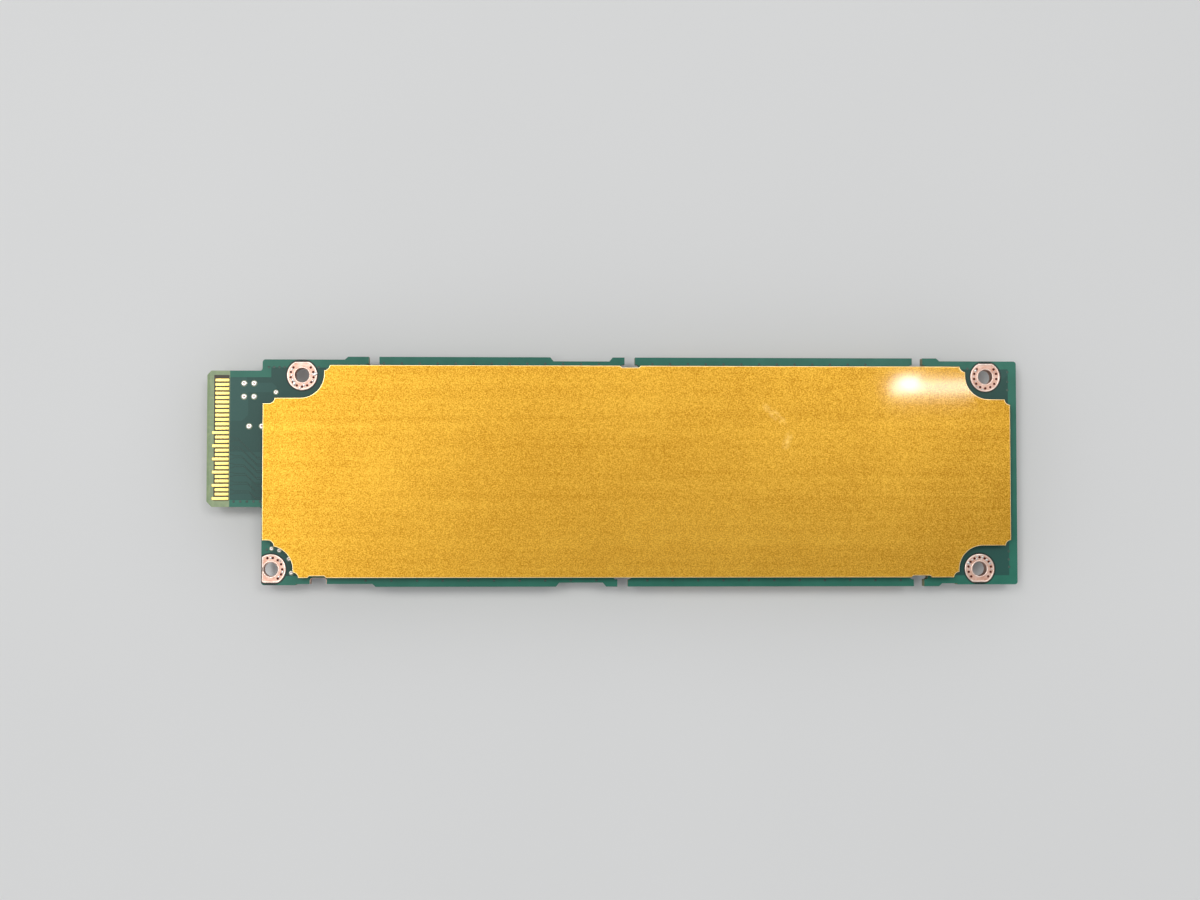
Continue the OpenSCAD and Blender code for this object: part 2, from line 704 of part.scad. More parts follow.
// Solid discs of those pads, grown by g
module upper_pad_discs(g) {
    for (p = upper_pads) translate([p[0], p[1]]) circle(d = p[2] + 2 * g);
}

module upper_pad_vias() {
    for (p = upper_pads) translate([p[0], p[1]]) circle(d = pad_via_d);
}

// Service field on the lower side, two columns of round pads
module lower_pad_discs(d) {
    for (c = [0, 1], k = [0:service_n - 1])
        translate([service_at + c * service_pitch, (k - (service_n - 1) / 2) * service_pitch])
            circle(d = d);
}

module screw_pad_windows() {
    translate(upper_left_at) screw_pad_shape(1, false, mask_gap);
    translate(upper_right_at) screw_pad_shape(1, false, mask_gap);
    translate(lower_right_at) screw_pad_shape(-1, false, mask_gap);
    translate(lower_left_at) screw_pad_shape(-1, true, mask_gap);
}

// Board outline less the bare strip at the leading edge and the windows over the screw pads
module mask_outline() {
    difference() {
        board_outline();
        translate([board_x0 - over, tab_y0 - over]) square([bare_l + over, tab_w + 2 * over]);
        screw_pad_windows();
    }
}

module solder_mask_upper() {
    color("seagreen") translate([0, 0, board_top]) linear_extrude(mask_t) difference() {
        mask_outline();
        upper_pad_discs(mask_gap);
    }
}

module solder_mask_lower() {
    color("seagreen") translate([0, 0, lower_z]) linear_extrude(mask_t) difference() {
        mask_outline();
        lower_pad_discs(service_d + 2 * mask_gap);
    }
}

// Copper lining of the plated slot
module slot_plating() {
    color("rosybrown") translate([0, 0, board_z]) linear_extrude(board_t) intersection() {
        difference() {
            plated_mouth(copper_t);
            plated_mouth(0);
        }
        translate([plated_x - plated_slot_w, -side_y]) square([2 * plated_slot_w, side_y]);
    }
}

// Whether contact i, counted from 1, is a long one: each third from the thirteenth on
function long_by_thirds(i) = i >= 13 && (i - 13) % 3 == 0;

// One row of contacts; the lower row also has six long supply contacts
module contact_row(supply) {
    for (i = [1:contact_n]) {
        l = long_by_thirds(i) || (supply && i <= 6) ? contact_long_l : contact_short_l;
        y = tab_y1 - contact_inset - (i - 1) * contact_pitch;
        translate([board_x0 + contact_root - l, y - contact_w / 2, 0])
            cube([l, contact_w, copper_t]);
    }
}

module edge_contacts_upper() {
    color("gold") translate([0, 0, board_top]) contact_row(false);
}

module edge_contacts_lower() {
    color("gold") translate([0, 0, board_z - copper_t]) contact_row(true);
}

module test_pads_upper() {
    color("gainsboro") translate([0, 0, board_top]) linear_extrude(copper_t) difference() {
        upper_pad_discs(0);
        upper_pad_vias();
    }
}

module test_pads_lower() {
    color("gainsboro") translate([0, 0, board_z - copper_t]) linear_extrude(copper_t)
        difference() {
            lower_pad_discs(service_d);
            lower_pad_discs(pad_via_d);
        }
}

// Heat spreader

// Cut-out round a screw hole, open towards the sheet's corner; sx and sy point to that corner
module corner_cut(at, sx, sy) {
    reach = 12;
    translate(at) mirror([sx > 0 ? 0 : 1, 0]) mirror([0, sy > 0 ? 0 : 1]) {
        circle(r = spreader_cut_r);
        translate([-spreader_cut_r, 0]) square([reach, reach]);
        translate([0, -spreader_cut_r]) square([reach, reach]);
    }
}

// Reliefs where the cut-out leaves the sheet: one on the long edge, one on the short edge
module corner_reliefs(at, sx, sy) {
    long_edge = [at[0] - sx * spreader_cut_r, sy * spreader_y];
    inset = sx < 0 ? spreader_left_relief : 0;
    short_edge = [(sx < 0 ? spreader_x0 : spreader_x1) - sx * inset, at[1] - sy * spreader_cut_r];
    translate(long_edge) circle(r = spreader_relief_r);
    translate(short_edge) circle(r = spreader_relief_r);
    translate([short_edge[0], short_edge[1] - spreader_relief_r])
        mirror([sx > 0 ? 0 : 1, 0]) square([inset + over, 2 * spreader_relief_r]);
}

// Notch in a long edge beside a slot of the board, with sloping ends
module spreader_notch(x, w, side) {
    half = w / 2 + spreader_notch_over;
    translate([x, side * spreader_y]) mirror([0, side > 0 ? 0 : 1])
        polygon([[-half - over, over], [half + over, over], [half, 0],
            [half - spreader_notch_d, -spreader_notch_d],
            [spreader_notch_d - half, -spreader_notch_d], [-half, 0]]);
}

module spreader_outline() {
    difference() {
        translate([spreader_x0, -spreader_y]) square([spreader_x1 - spreader_x0, 2 * spreader_y]);
        corner_cut(upper_left_at, -1, 1);
        corner_cut(upper_right_at, 1, 1);
        corner_cut(lower_left_at, -1, -1);
        corner_cut(lower_right_at, 1, -1);
        corner_reliefs(upper_left_at, -1, 1);
        corner_reliefs(upper_right_at, 1, 1);
        corner_reliefs(lower_left_at, -1, -1);
        corner_reliefs(lower_right_at, 1, -1);
        spreader_notch(upper_slots[1], slot_bar_w, 1);
        spreader_notch(lower_slots[1], slot_bar_w, -1);
        spreader_notch(plated_x, plated_slot_w, -1);
    }
}

module heat_spreader() {
    color("goldenrod") translate([0, 0, spreader_z]) linear_extrude(spreader_t) spreader_outline();
}

// Soft pad between one package and the spreader
module thermal_pad(x, l, w) {
    color("lightsteelblue") on_upper() translate([x, 0, thermal_z])
        block(l - 2 * thermal_inset, w - 2 * thermal_inset, thermal_t);
}

// Packages

module flash_body() {
    color("dimgray") translate([0, 0, package_z]) block(flash_l, flash_w, flash_t);
}

module flash_upper(i) {
    on_upper() translate([flash_x(i), 0, 0]) flash_body();
}

module flash_lower(i) {
    on_lower() translate([flash_x(i), 0, 0]) flash_body();
}

module working_memory(side) {
    color("dimgray") on_lower() translate([dram_at, side * dram_y, package_z])
        block(dram_l, dram_w, dram_t);
}

module controller_substrate() {
    color("darkgreen") on_upper() translate([controller_at, 0, package_z])
        block(controller_w, controller_w, substrate_t);
}

module controller_cap() {
    color("dimgray") on_upper() translate([controller_at, 0, package_z + substrate_t])
        linear_extrude(cap_t) round_rect(cap_w, cap_w, 0.4);
}

// Solder joints and the epoxy that fills the space between them, one block per package
module underfill(l, w) {
    color("saddlebrown") block(l - 2 * underfill_inset, w - 2 * underfill_inset, joint_h);
}

module underfill_upper() {
    on_upper() {
        for (i = [1:flash_n]) translate([flash_x(i), 0, 0]) underfill(flash_l, flash_w);
        translate([controller_at, 0, 0]) underfill(controller_w, controller_w);
    }
}

module underfill_lower() {
    on_lower() {
        for (i = [1:flash_n]) translate([flash_x(i), 0, 0]) underfill(flash_l, flash_w);
        for (s = [-1, 1]) translate([dram_at, s * dram_y, 0]) underfill(dram_l, dram_w);
    }
}

// Power parts

// Moulded body of one hold-up capacitor, chamfered along its two long upper edges
module hold_up_capacitor(k) {
    row = k <= holdup_n ? 1 : -1;
    i = (k - 1) % holdup_n;
    body_l = holdup_l - 2 * holdup_lead_t;
    if (k <= 2 * holdup_n)
        color("khaki") on_lower() translate([holdup_x(i) - body_l / 2, row * holdup_y, 0])
            rotate([90, 0, 90]) linear_extrude(body_l)
                polygon([[-holdup_w / 2, holdup_lead_t], [holdup_w / 2, holdup_lead_t],
                    [holdup_w / 2, holdup_h - holdup_chamfer], [holdup_w / 2 - holdup_chamfer, holdup_h],
                    [holdup_chamfer - holdup_w / 2, holdup_h], [-holdup_w / 2, holdup_h - holdup_chamfer]]);
}

// Terminal bent round one end of a body: a foot underneath and a strap up the end face
module wrap_terminal(end_x, w, t, foot_l, strap_h) {
    translate([0, w / 2, 0]) rotate([90, 0, 0]) linear_extrude(w)
        polygon([[end_x, 0], [end_x, strap_h], [end_x - t, strap_h], [end_x - t, t],
            [end_x - foot_l, t], [end_x - foot_l, 0]]);
}

module hold_up_terminals() {
    color("silver") on_lower() for (row = [-1, 1], i = [0:holdup_n - 1])
        translate([holdup_x(i), row * holdup_y, 0]) for (s = [0, 1]) mirror([s, 0, 0])
            wrap_terminal(holdup_l / 2, holdup_lead_w, holdup_lead_t, holdup_foot_l, holdup_h / 2);
}

module power_inductor(k) {
    if (k <= inductor_n)
        color("slategray") on_lower() translate([inductor_at, inductor_y(k - 1), inductor_lead_t])
            linear_extrude(inductor_h - inductor_lead_t)
                round_rect(inductor_w - 2 * inductor_lead_t, inductor_w, inductor_r);
}

module inductor_terminals() {
    color("silver") on_lower() for (i = [0:inductor_n - 1])
        translate([inductor_at, inductor_y(i), 0]) for (s = [0, 1]) mirror([s, 0, 0])
            wrap_terminal(inductor_w / 2, inductor_lead_w, inductor_lead_t, inductor_w / 4,
                inductor_h / 2);
}

// Power and control chips

module power_manager() {
    color("dimgray") on_lower() translate([column_x, manager_y, 0])
        block(manager_w, manager_w, leadless_t);
}

module boost_converter() {
    color("dimgray") on_lower() translate([column_x, boost_y, 0])
        block(converter_w, converter_w, leadless_t);
}

module inlet_switch() {
    color("dimgray") on_lower() translate([inlet_at, inlet_y, 0])
        block(converter_w, converter_w, leadless_t);
}

// Moulded body with a ridge round its middle, where the leads come out
module boot_memory() {
    lead_z = boot_h / 2;
    draft = 0.12;
    color("dimgray") on_lower() translate([column_x, boot_y + boot_l / 2, 0]) rotate([90, 0, 0])
        linear_extrude(boot_l)
            polygon([[draft - boot_w / 2, 0.1], [boot_w / 2 - draft, 0.1], [boot_w / 2, lead_z],
                [boot_w / 2 - draft, boot_h], [draft - boot_w / 2, boot_h], [-boot_w / 2, lead_z]]);
}

// Terminals along the four sides of a square leadless package
module leadless_terminals(w) {
    n = floor((w - 1) / lead_pitch);
    for (q = [0:3], i = [0:n]) rotate(90 * q)
        translate([w / 2, (i - n / 2) * lead_pitch - lead_w / 2, 0])
            cube([lead_out, lead_w, leadless_t / 4]);
}

// Gull-wing leads along both sides of the boot memory
module gull_leads() {
    lead_z = boot_h / 2;
    x0 = boot_w / 2;
    x1 = x0 + boot_lead_l;
    knee = x0 + 0.3 * boot_lead_l;
    toe = x0 + 0.6 * boot_lead_l;
    for (s = [0, 1], k = [0:3]) mirror([s, 0, 0])
        translate([0, (k - 1.5) * boot_pitch + boot_lead_w / 2, 0]) rotate([90, 0, 0])
            linear_extrude(boot_lead_w)
                polygon([[x0, lead_z], [knee, lead_z], [toe, boot_lead_t], [x1, boot_lead_t], [x1, 0],
                    [toe - boot_lead_t / 2, 0], [knee - boot_lead_t / 2, lead_z - boot_lead_t],
                    [x0 - 0.12 * boot_lead_t / (lead_z - 0.1), lead_z - boot_lead_t]]);
}

module package_leads() {
    color("silver") on_lower() {
        translate([column_x, manager_y, 0]) leadless_terminals(manager_w);
        translate([column_x, boost_y, 0]) leadless_terminals(converter_w);
        translate([inlet_at, inlet_y, 0]) leadless_terminals(converter_w);
        translate([column_x, boot_y, 0]) gull_leads();
    }
}

module temperature_sensor() {
    color("dimgray") on_lower() translate([column_x, sensor_y, 0])
        block(sensor_w, sensor_w, leadless_t);
}

module crystal_base() {
    color("beige") on_lower() translate([column_x, crystal_y, 0])
        block(crystal_l, crystal_w, crystal_base_t);
}

module crystal_lid() {
    color("silver") on_lower() translate([column_x, crystal_y, crystal_base_t])
        linear_extrude(crystal_lid_t) round_rect(crystal_l - 0.3, crystal_w - 0.3, 0.3);
}

// Chip parts

// Ceramic body between a chip's two end caps
module chip_bodies(chips) {
    for (c = chips) translate([c[0], c[1], chip_lift]) rotate(c[5])
        block(c[2] * (1 - 2 * cap_share), c[3] - 2 * chip_lift, c[4] - 2 * chip_lift);
}

module chip_caps(chips) {
    for (c = chips, s = [-1, 1]) translate([c[0], c[1], 0]) rotate(c[5])
        translate([s * c[2] * (1 - cap_share) / 2, 0, 0]) block(c[2] * cap_share, c[3], c[4]);
}

module ceramic_chips_upper() {
    color("tan") on_upper() chip_bodies(upper_chips);
}

module ceramic_chips_lower() {
    color("tan") on_lower() chip_bodies(lower_chips);
}

module chip_resistors() {
    color("darkslategray") on_lower() chip_bodies(resistors);
}

module chip_end_caps_upper() {
    color("silver") on_upper() chip_caps(upper_chips);
}

module chip_end_caps_lower() {
    color("silver") on_lower() chip_caps(concat(lower_chips, resistors));
}

// Two side-by-side lights near the far end
module status_lights() {
    color("honeydew") on_lower() for (s = [-1, 1])
        translate([board_x1 - led_inset, s * led_spacing / 2, 0]) block(led_w, led_l, led_h);
}

circuit_board();
solder_mask_upper();
solder_mask_lower();
slot_plating();
edge_contacts_upper();
edge_contacts_lower();
color("pink") screw_pad(upper_left_at, 1, false);  // screw_pad_upper_left
color("pink") screw_pad(lower_left_at, -1, true);  // screw_pad_lower_left
color("pink") screw_pad(upper_right_at, 1, false);  // screw_pad_upper_right
color("pink") screw_pad(lower_right_at, -1, false);  // screw_pad_lower_right
test_pads_upper();
test_pads_lower();
heat_spreader();
thermal_pad(controller_at, cap_w, cap_w);  // thermal_pad_controller
thermal_pad(flash_x(1), flash_l, flash_w);  // thermal_pad_1
thermal_pad(flash_x(2), flash_l, flash_w);  // thermal_pad_2
thermal_pad(flash_x(3), flash_l, flash_w);  // thermal_pad_3
thermal_pad(flash_x(4), flash_l, flash_w);  // thermal_pad_4
controller_substrate();
controller_cap();
flash_upper(1);  // flash_upper_1
flash_upper(2);  // flash_upper_2
flash_upper(3);  // flash_upper_3
flash_upper(4);  // flash_upper_4
flash_lower(1);  // flash_lower_1
flash_lower(2);  // flash_lower_2
flash_lower(3);  // flash_lower_3
flash_lower(4);  // flash_lower_4
working_memory(1);  // working_memory_1
working_memory(-1);  // working_memory_2
underfill_upper();
underfill_lower();
hold_up_capacitor(1);  // hold_up_capacitor_1
hold_up_capacitor(2);  // hold_up_capacitor_2
hold_up_capacitor(3);  // hold_up_capacitor_3
hold_up_capacitor(4);  // hold_up_capacitor_4
hold_up_capacitor(5);  // hold_up_capacitor_5
hold_up_capacitor(6);  // hold_up_capacitor_6
hold_up_capacitor(7);  // hold_up_capacitor_7
hold_up_capacitor(8);  // hold_up_capacitor_8
hold_up_terminals();
power_inductor(1);  // power_inductor_1
power_inductor(2);  // power_inductor_2
power_inductor(3);  // power_inductor_3
power_inductor(4);  // power_inductor_4
inductor_terminals();
power_manager();
inlet_switch();
boost_converter();
boot_memory();
package_leads();
temperature_sensor();
crystal_base();
crystal_lid();
ceramic_chips_upper();
ceramic_chips_lower();
chip_resistors();
chip_end_caps_upper();
chip_end_caps_lower();
status_lights();
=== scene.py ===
import math

import bmesh
import bpy
from mathutils import Matrix, Vector


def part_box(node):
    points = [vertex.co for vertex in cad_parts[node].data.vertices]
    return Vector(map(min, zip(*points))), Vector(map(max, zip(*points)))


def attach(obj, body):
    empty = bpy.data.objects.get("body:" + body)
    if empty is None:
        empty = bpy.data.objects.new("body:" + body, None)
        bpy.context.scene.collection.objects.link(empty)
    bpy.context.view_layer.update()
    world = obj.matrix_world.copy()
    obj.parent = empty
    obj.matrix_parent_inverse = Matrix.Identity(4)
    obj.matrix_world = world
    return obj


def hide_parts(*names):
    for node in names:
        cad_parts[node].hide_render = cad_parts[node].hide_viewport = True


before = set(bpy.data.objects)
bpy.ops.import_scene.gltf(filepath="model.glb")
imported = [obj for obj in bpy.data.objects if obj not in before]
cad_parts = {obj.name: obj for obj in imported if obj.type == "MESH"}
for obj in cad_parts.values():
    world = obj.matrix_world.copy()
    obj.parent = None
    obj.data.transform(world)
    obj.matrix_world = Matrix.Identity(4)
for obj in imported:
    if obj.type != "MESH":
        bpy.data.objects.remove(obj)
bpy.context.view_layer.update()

scene = bpy.context.scene
scene.view_settings.view_transform = "Standard"
MM = 0.001

# Camera. It stands about 240 mm above the card and looks nearly straight down, from a little
# left of the middle. Its place and turn were fitted to the corners and holes of the card.
def enter(name, data):
    """A new object with this data, linked to the scene."""
    obj = bpy.data.objects.new(name, data)
    scene.collection.objects.link(obj)
    return obj


camera_data = bpy.data.cameras.new("camera")
camera_data.lens = 52.5
camera_data.sensor_width = 36.0
camera_data.clip_start = 0.01
camera = enter("camera", camera_data)
camera.location = Vector((-9.923, -5.765, 244.384)) * MM
camera.rotation_euler = [math.radians(a) for a in (2.0862, -1.8886, 0.0042)]
scene.camera = camera


# Room and light. A plain pale table under soft light: a wide lamp above, a brighter one on the
# left, a small one on the right, and a bare tube that leaves the glint on the sheet's seal.
def linear(hex_colour):
    """Turns an sRGB hex colour, such as "#e0b050", into linear RGBA."""
    parts = [int(hex_colour[i:i + 2], 16) / 255 for i in (1, 3, 5)]
    return [c / 12.92 if c <= 0.04045 else ((c + 0.055) / 1.055) ** 2.4 for c in parts] + [1.0]


def feed(tree, node, inputs):
    """Gives inputs of a node a value, a hex colour, a socket, or a node whose result to read."""
    for key, source in inputs.items():
        if isinstance(source, bpy.types.Node):
            source = next(socket for socket in source.outputs if socket.enabled)
        if isinstance(source, bpy.types.NodeSocket):
            tree.links.new(source, node.inputs[key])
        else:
            hex_colour = isinstance(source, str) and source.startswith("#")
            node.inputs[key].default_value = linear(source) if hex_colour else source


def add(tree, kind, inputs=None, **settings):
    """Adds a node with these settings and inputs. Its kind may leave out the word ShaderNode."""
    node = tree.nodes.new(kind if "Node" in kind else "ShaderNode" + kind)
    for name, value in settings.items():
        setattr(node, name, value)
    feed(tree, node, inputs or {})
    return node


def start_material(name, colour, **values):
    """A material with one Principled shader: gives material, tree, shader, Object coordinates."""
    material = bpy.data.materials.new(name)
    material.use_nodes = True
    tree = material.node_tree
    tree.nodes.clear()
    values = {key.replace("_", " "): value for key, value in values.items()}
    shader = add(tree, "BsdfPrincipled", values | {"Base Color": colour})
    add(tree, "OutputMaterial", {"Surface": shader})
    return material, tree, shader, add(tree, "TexCoord").outputs["Object"]


def mottled(name, colour, dark, light, patch, detail=2.0, fine=0.5, drawn=None, satin=None,
            relief=None, **values):
    """A material that wanders from dark to light in patches this many millimetres wide.

    Drawn stretches the patches. Satin gives the least and the greatest roughness that go with
    them, and relief gives the strength of their bumps and its depth in millimetres.
    """
    material, tree, shader, place = start_material(name, colour, **values)
    if drawn:
        place = add(tree, "Mapping", {"Vector": place, "Scale": drawn})
    grain = add(tree, "TexNoise",
                {"Vector": place, "Scale": 1 / (patch * MM), "Detail": detail, "Roughness": fine})
    tone = add(tree, "Mix", {0: grain, 6: dark, 7: light}, data_type="RGBA")
    feed(tree, shader, {"Base Color": tone})
    if satin:
        sheen = add(tree, "MapRange", {"Value": grain, "To Min": satin[0], "To Max": satin[1]})
        feed(tree, shader, {"Roughness": sheen})
    if relief:
        bumps = add(tree, "Bump",
                    {"Height": grain, "Strength": relief[0], "Distance": relief[1] * MM})
        feed(tree, shader, {"Normal": bumps})
    return material


# Laminated wood fibre: matt and pale, with faint mottling in patches of about 60 mm
table_top = mottled("pale_laminated_table", "#dededc", "#dcdcda", "#e1e1df", 60, Roughness=0.7)
floor_mesh = bpy.data.meshes.new("floor")
floor_mesh.from_pydata([(-1.5, -1.5, 0), (1.5, -1.5, 0), (1.5, 1.5, 0), (-1.5, 1.5, 0)],
                       [], [(0, 1, 2, 3)])
floor_mesh.materials.append(table_top)
floor = enter("floor", floor_mesh)

# The room's pale walls are brighter than its ceiling, so that metal seen from a low side shines
room = bpy.data.worlds.new("room")
room.use_nodes = True
tree = room.node_tree
towards = add(tree, "SeparateXYZ", {0: add(tree, "TexCoord").outputs["Generated"]})
walls = add(tree, "MapRange",
            {"Value": towards.outputs["Z"], "From Min": 0.35, "From Max": 0.75, "To Min": 0.9,
             "To Max": 0.28})
feed(tree, tree.nodes["Background"], {"Color": "#f8faff", "Strength": walls})
scene.world = room


def lamp(name, at, size, radiance):
    """A soft lamp of this length and width that faces the card and shines with this radiance."""
    data = bpy.data.lights.new(name, "AREA")
    data.shape = "RECTANGLE"
    data.size, data.size_y = size
    data.energy = radiance * math.pi * data.size * data.size_y
    obj = enter(name, data)
    obj.location = at
    away = Vector(at).normalized()
    across = Vector((0, 1, 0)).cross(away).normalized()
    turn = Matrix((across, away.cross(across), away)).transposed()
    obj.rotation_euler = turn.to_euler()


lamp("ceiling_panel", (-0.10, 0.30, 1.0), (1.05, 0.27), 2.9)
lamp("left_panel", (-0.36, 0.05, 1.0), (0.20, 0.50), 7.2)
lamp("right_panel", (0.30, 0.22, 1.0), (0.25, 0.20), 4.4)
lamp("bare_tube", (0.262, 0.0825, 0.979), (0.058, 0.0095), 28.0)
lamp("tube_end", (0.246, 0.086, 0.979), (0.0125, 0.0075), 54.0)


# Circuit board. Woven glass cloth in epoxy, pressed to 1.57 mm. The router leaves its edges
# smooth with the plies showing; the faces are bare only along the tab's leading edge.
def paint(material, *nodes):
    """Gives CAD nodes this material in place of their own."""
    for name in nodes:
        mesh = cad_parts[name].data
        mesh.materials.clear()
        mesh.materials.append(material)


BOARD_LOW, BOARD_HIGH = [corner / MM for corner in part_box("circuit_board")]
MASK_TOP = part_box("solder_mask_upper")[1].z / MM
MASK_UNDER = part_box("solder_mask_lower")[0].z / MM
# Top of the tab, and the shoulder where the tab widens into the card
TAB_HIGH_Y, SHOULDER_X = 13.8, -48.195
# Screw holes: middle, first via's angle, number of vias and the way they run round the hole
SCREWS = {"upper_left": (-42.815, 13.2, 138.0, 11, 1),
          "lower_left": (-46.915, -13.35, 106.0, 7, -1),
          "upper_right": (51.445, 13.2, 138.0, 11, 1),
          "lower_right": (50.465, -13.35, -42.0, 11, 1)}


def screw_distance(tree, place):
    """How far a point lies from the axis of the nearest screw hole."""
    level = add(tree, "VectorMath", {0: place, 1: (1, 1, 0)}, operation="MULTIPLY")
    nearest = 1.0
    for x, y, *_ in SCREWS.values():
        far = add(tree, "VectorMath", {0: level, 1: (x * MM, y * MM, 0)}, operation="DISTANCE")
        nearest = add(tree, "Math", {0: nearest, 1: far}, operation="MINIMUM")
    return nearest


def inside(tree, where, mid_x, half_x, mid_y, half_y):
    """1 in a rectangle on the card and 0 outside it: middle and half sizes in millimetres."""
    in_x = add(tree, "Math", {0: where.outputs["X"], 1: mid_x * MM, 2: half_x * MM},
               operation="COMPARE")
    in_y = add(tree, "Math", {0: where.outputs["Y"], 1: mid_y * MM, 2: half_y * MM},
               operation="COMPARE")
    return add(tree, "Math", {0: in_x, 1: in_y}, operation="MULTIPLY")


# Glass-epoxy laminate, router cut: matt, faintly translucent olive, cloth thread 0.45 mm apart
laminate, tree, shader, place = start_material(
    "glass_epoxy_laminate", "#94a37f", Roughness=0.48, IOR=1.55)
warp = add(tree, "Mapping", {"Vector": place, "Scale": (0.25, 1, 1)})
weft = add(tree, "Mapping", {"Vector": place, "Scale": (1, 0.25, 1)})
threads = [add(tree, "TexNoise",
               {"Vector": way, "Scale": 1 / (0.45 * MM), "Detail": 1.0}) for way in (warp, weft)]
cloth = add(tree, "Math", {0: threads[0], 1: threads[1]}, operation="MAXIMUM")
cloth_range = add(tree, "MapRange", {"Value": cloth, "From Min": 0.45, "From Max": 0.75})
face = add(tree, "Mix", {0: cloth_range, 6: "#879b72", 7: "#99a97c"}, data_type="RGBA")
where = add(tree, "SeparateXYZ", {"Vector": place})
# Between the contacts and round the screw pads the bare epoxy is painted dark brown: painted shade
# in the narrow gaps beside the contacts and the lands
window = inside(tree, where, -53.72, 1.04, 4.6, 8.6)
round_pad = add(tree, "Math", {0: screw_distance(tree, place), 1: 2.4 * MM}, operation="LESS_THAN")
painted_gap_shade = add(tree, "Math", {0: window, 1: round_pad}, operation="MAXIMUM")
face_with_gap_shade = add(tree, "Mix", {0: painted_gap_shade, 6: face, 7: "#3b3017"}, data_type="RGBA")
# Cut edges: plies 0.11 mm thick, seen as level lines
plies = add(tree, "TexWave",
            {"Vector": place, "Scale": 1 / (0.11 * MM) / math.tau, "Distortion": 1.2,
             "Detail": 2.0}, bands_direction="Z")
edge = add(tree, "Mix", {0: plies.outputs["Fac"], 6: "#6c7048", 7: "#949368"}, data_type="RGBA")
facing = add(tree, "SeparateXYZ", {"Vector": add(tree, "NewGeometry").outputs["Normal"]})
upright = add(tree, "Math", {0: facing.outputs["Z"], 1: 0.0, 2: 0.3}, operation="COMPARE")
bare = add(tree, "Mix", {0: upright, 6: face_with_gap_shade, 7: edge}, data_type="RGBA")
relief = add(tree, "Bump", {"Height": cloth, "Strength": 0.3, "Distance": 0.02 * MM})
feed(tree, shader, {"Base Color": bare, "Normal": relief})
paint(laminate, "circuit_board")


# Slot plating. A thin copper lining in the routed slot of the lower edge, plated with the
# screw holes, and dulled by the same preservative as the pads.
def copper_finish(name, light, dark, roughness):
    """Plated copper under a clear preservative: pinkish, satin, with cloudy tarnish."""
    material, tree, shader, place = start_material(name, light, Metallic=1.0, Roughness=roughness)
    # Tarnish clouds about 0.8 mm across, and a plating grain of 0.15 mm
    cloud = add(tree, "TexNoise",
                {"Vector": place, "Scale": 1 / (0.8 * MM), "Detail": 4.0, "Roughness": 0.6})
    cloud_range = add(tree, "MapRange", {"Value": cloud, "From Min": 0.3, "From Max": 0.7})
    tone = add(tree, "Mix", {0: cloud_range, 6: light, 7: dark}, data_type="RGBA")
    grain = add(tree, "TexNoise", {"Vector": place, "Scale": 1 / (0.15 * MM)})
    dull = add(tree, "MapRange",
               {"Value": grain, "To Min": roughness - 0.1, "To Max": roughness + 0.15})
    relief = add(tree, "Bump", {"Height": grain, "Strength": 0.25, "Distance": 0.01 * MM})
    feed(tree, shader, {"Base Color": tone, "Roughness": dull, "Normal": relief})
    return material


pad_copper = copper_finish("preserved_copper", "#dfc0b0", "#c6937d", 0.42)
paint(pad_copper, "slot_plating")


# Solder mask. Green photo-cured lacquer on both faces, about 0.03 mm thick. Over the copper
# planes it looks grey-green, and along the card's edges, where the copper ends, a clearer green.
mask_lacquer, tree, shader, place = start_material(
    "solder_mask_lacquer", "#355c50", Roughness=0.3, IOR=1.5, Specular_IOR_Level=0.25)
where = add(tree, "SeparateXYZ", {"Vector": place})
# Copper planes under the card and under the tab, 1 mm clear of the edges
planes = [inside(tree, where, 3.8, 50.8, 0.0, 14.25), inside(tree, where, -49.8, 2.9, 4.5, 8.4)]
over_copper = add(tree, "Math", {0: planes[0], 1: planes[1]}, operation="MAXIMUM")
# Separate copper areas, about 7 mm across, with straight and slanting borders
areas = add(tree, "TexVoronoi", {"Vector": place, "Scale": 1 / (7.0 * MM)}, distance="CHEBYCHEV")
area = add(tree, "SeparateColor", {"Color": areas.outputs["Color"]})
copper_tone = add(tree, "Mix", {0: area.outputs["Red"], 6: "#1b4940", 7: "#295950"},
                  data_type="RGBA")
clear = add(tree, "TexNoise", {"Vector": place, "Scale": 1 / (2.5 * MM), "Detail": 3.0})
bare_tone = add(tree, "Mix", {0: clear, 6: "#1f6552", 7: "#347e6a"}, data_type="RGBA")
tone = add(tree, "Mix", {0: over_copper, 6: bare_tone, 7: copper_tone}, data_type="RGBA")
# Painted shade: the lacquer darkens over the last 0.2 mm before its window round a screw pad,
# where the groove beside the land lies in shade
painted_groove_shade = add(tree, "MapRange",
            {"Value": screw_distance(tree, place), "From Min": 2.14 * MM, "From Max": 2.34 * MM,
             "To Min": 1.0, "To Max": 0.0})
lacquer = add(tree, "Mix", {0: painted_groove_shade, 6: tone, 7: "#14302a"}, data_type="RGBA")
# Orange peel of the cured lacquer, 0.35 mm across
peel = add(tree, "TexNoise", {"Vector": place, "Scale": 1 / (0.35 * MM), "Detail": 2.0})
relief = add(tree, "Bump", {"Height": peel, "Strength": 0.35, "Distance": 0.012 * MM})
step = add(tree, "Bump",
           {"Height": over_copper, "Normal": relief, "Strength": 0.6, "Distance": 0.03 * MM})
feed(tree, shader, {"Base Color": lacquer, "Normal": step})
paint(mask_lacquer, "solder_mask_upper", "solder_mask_lower")


# Traces and small vias. Copper lines 0.11 mm wide leave the contacts in pairs and turn towards
# the controller under the lacquer, and rows of tented vias tie the planes along the edges.
def baked(obj):
    """The plain mesh that an object's modifiers give. The modifiers are then removed."""
    depsgraph = bpy.context.evaluated_depsgraph_get()
    mesh = bpy.data.meshes.new_from_object(obj.evaluated_get(depsgraph), depsgraph=depsgraph)
    obj.modifiers.clear()
    return mesh


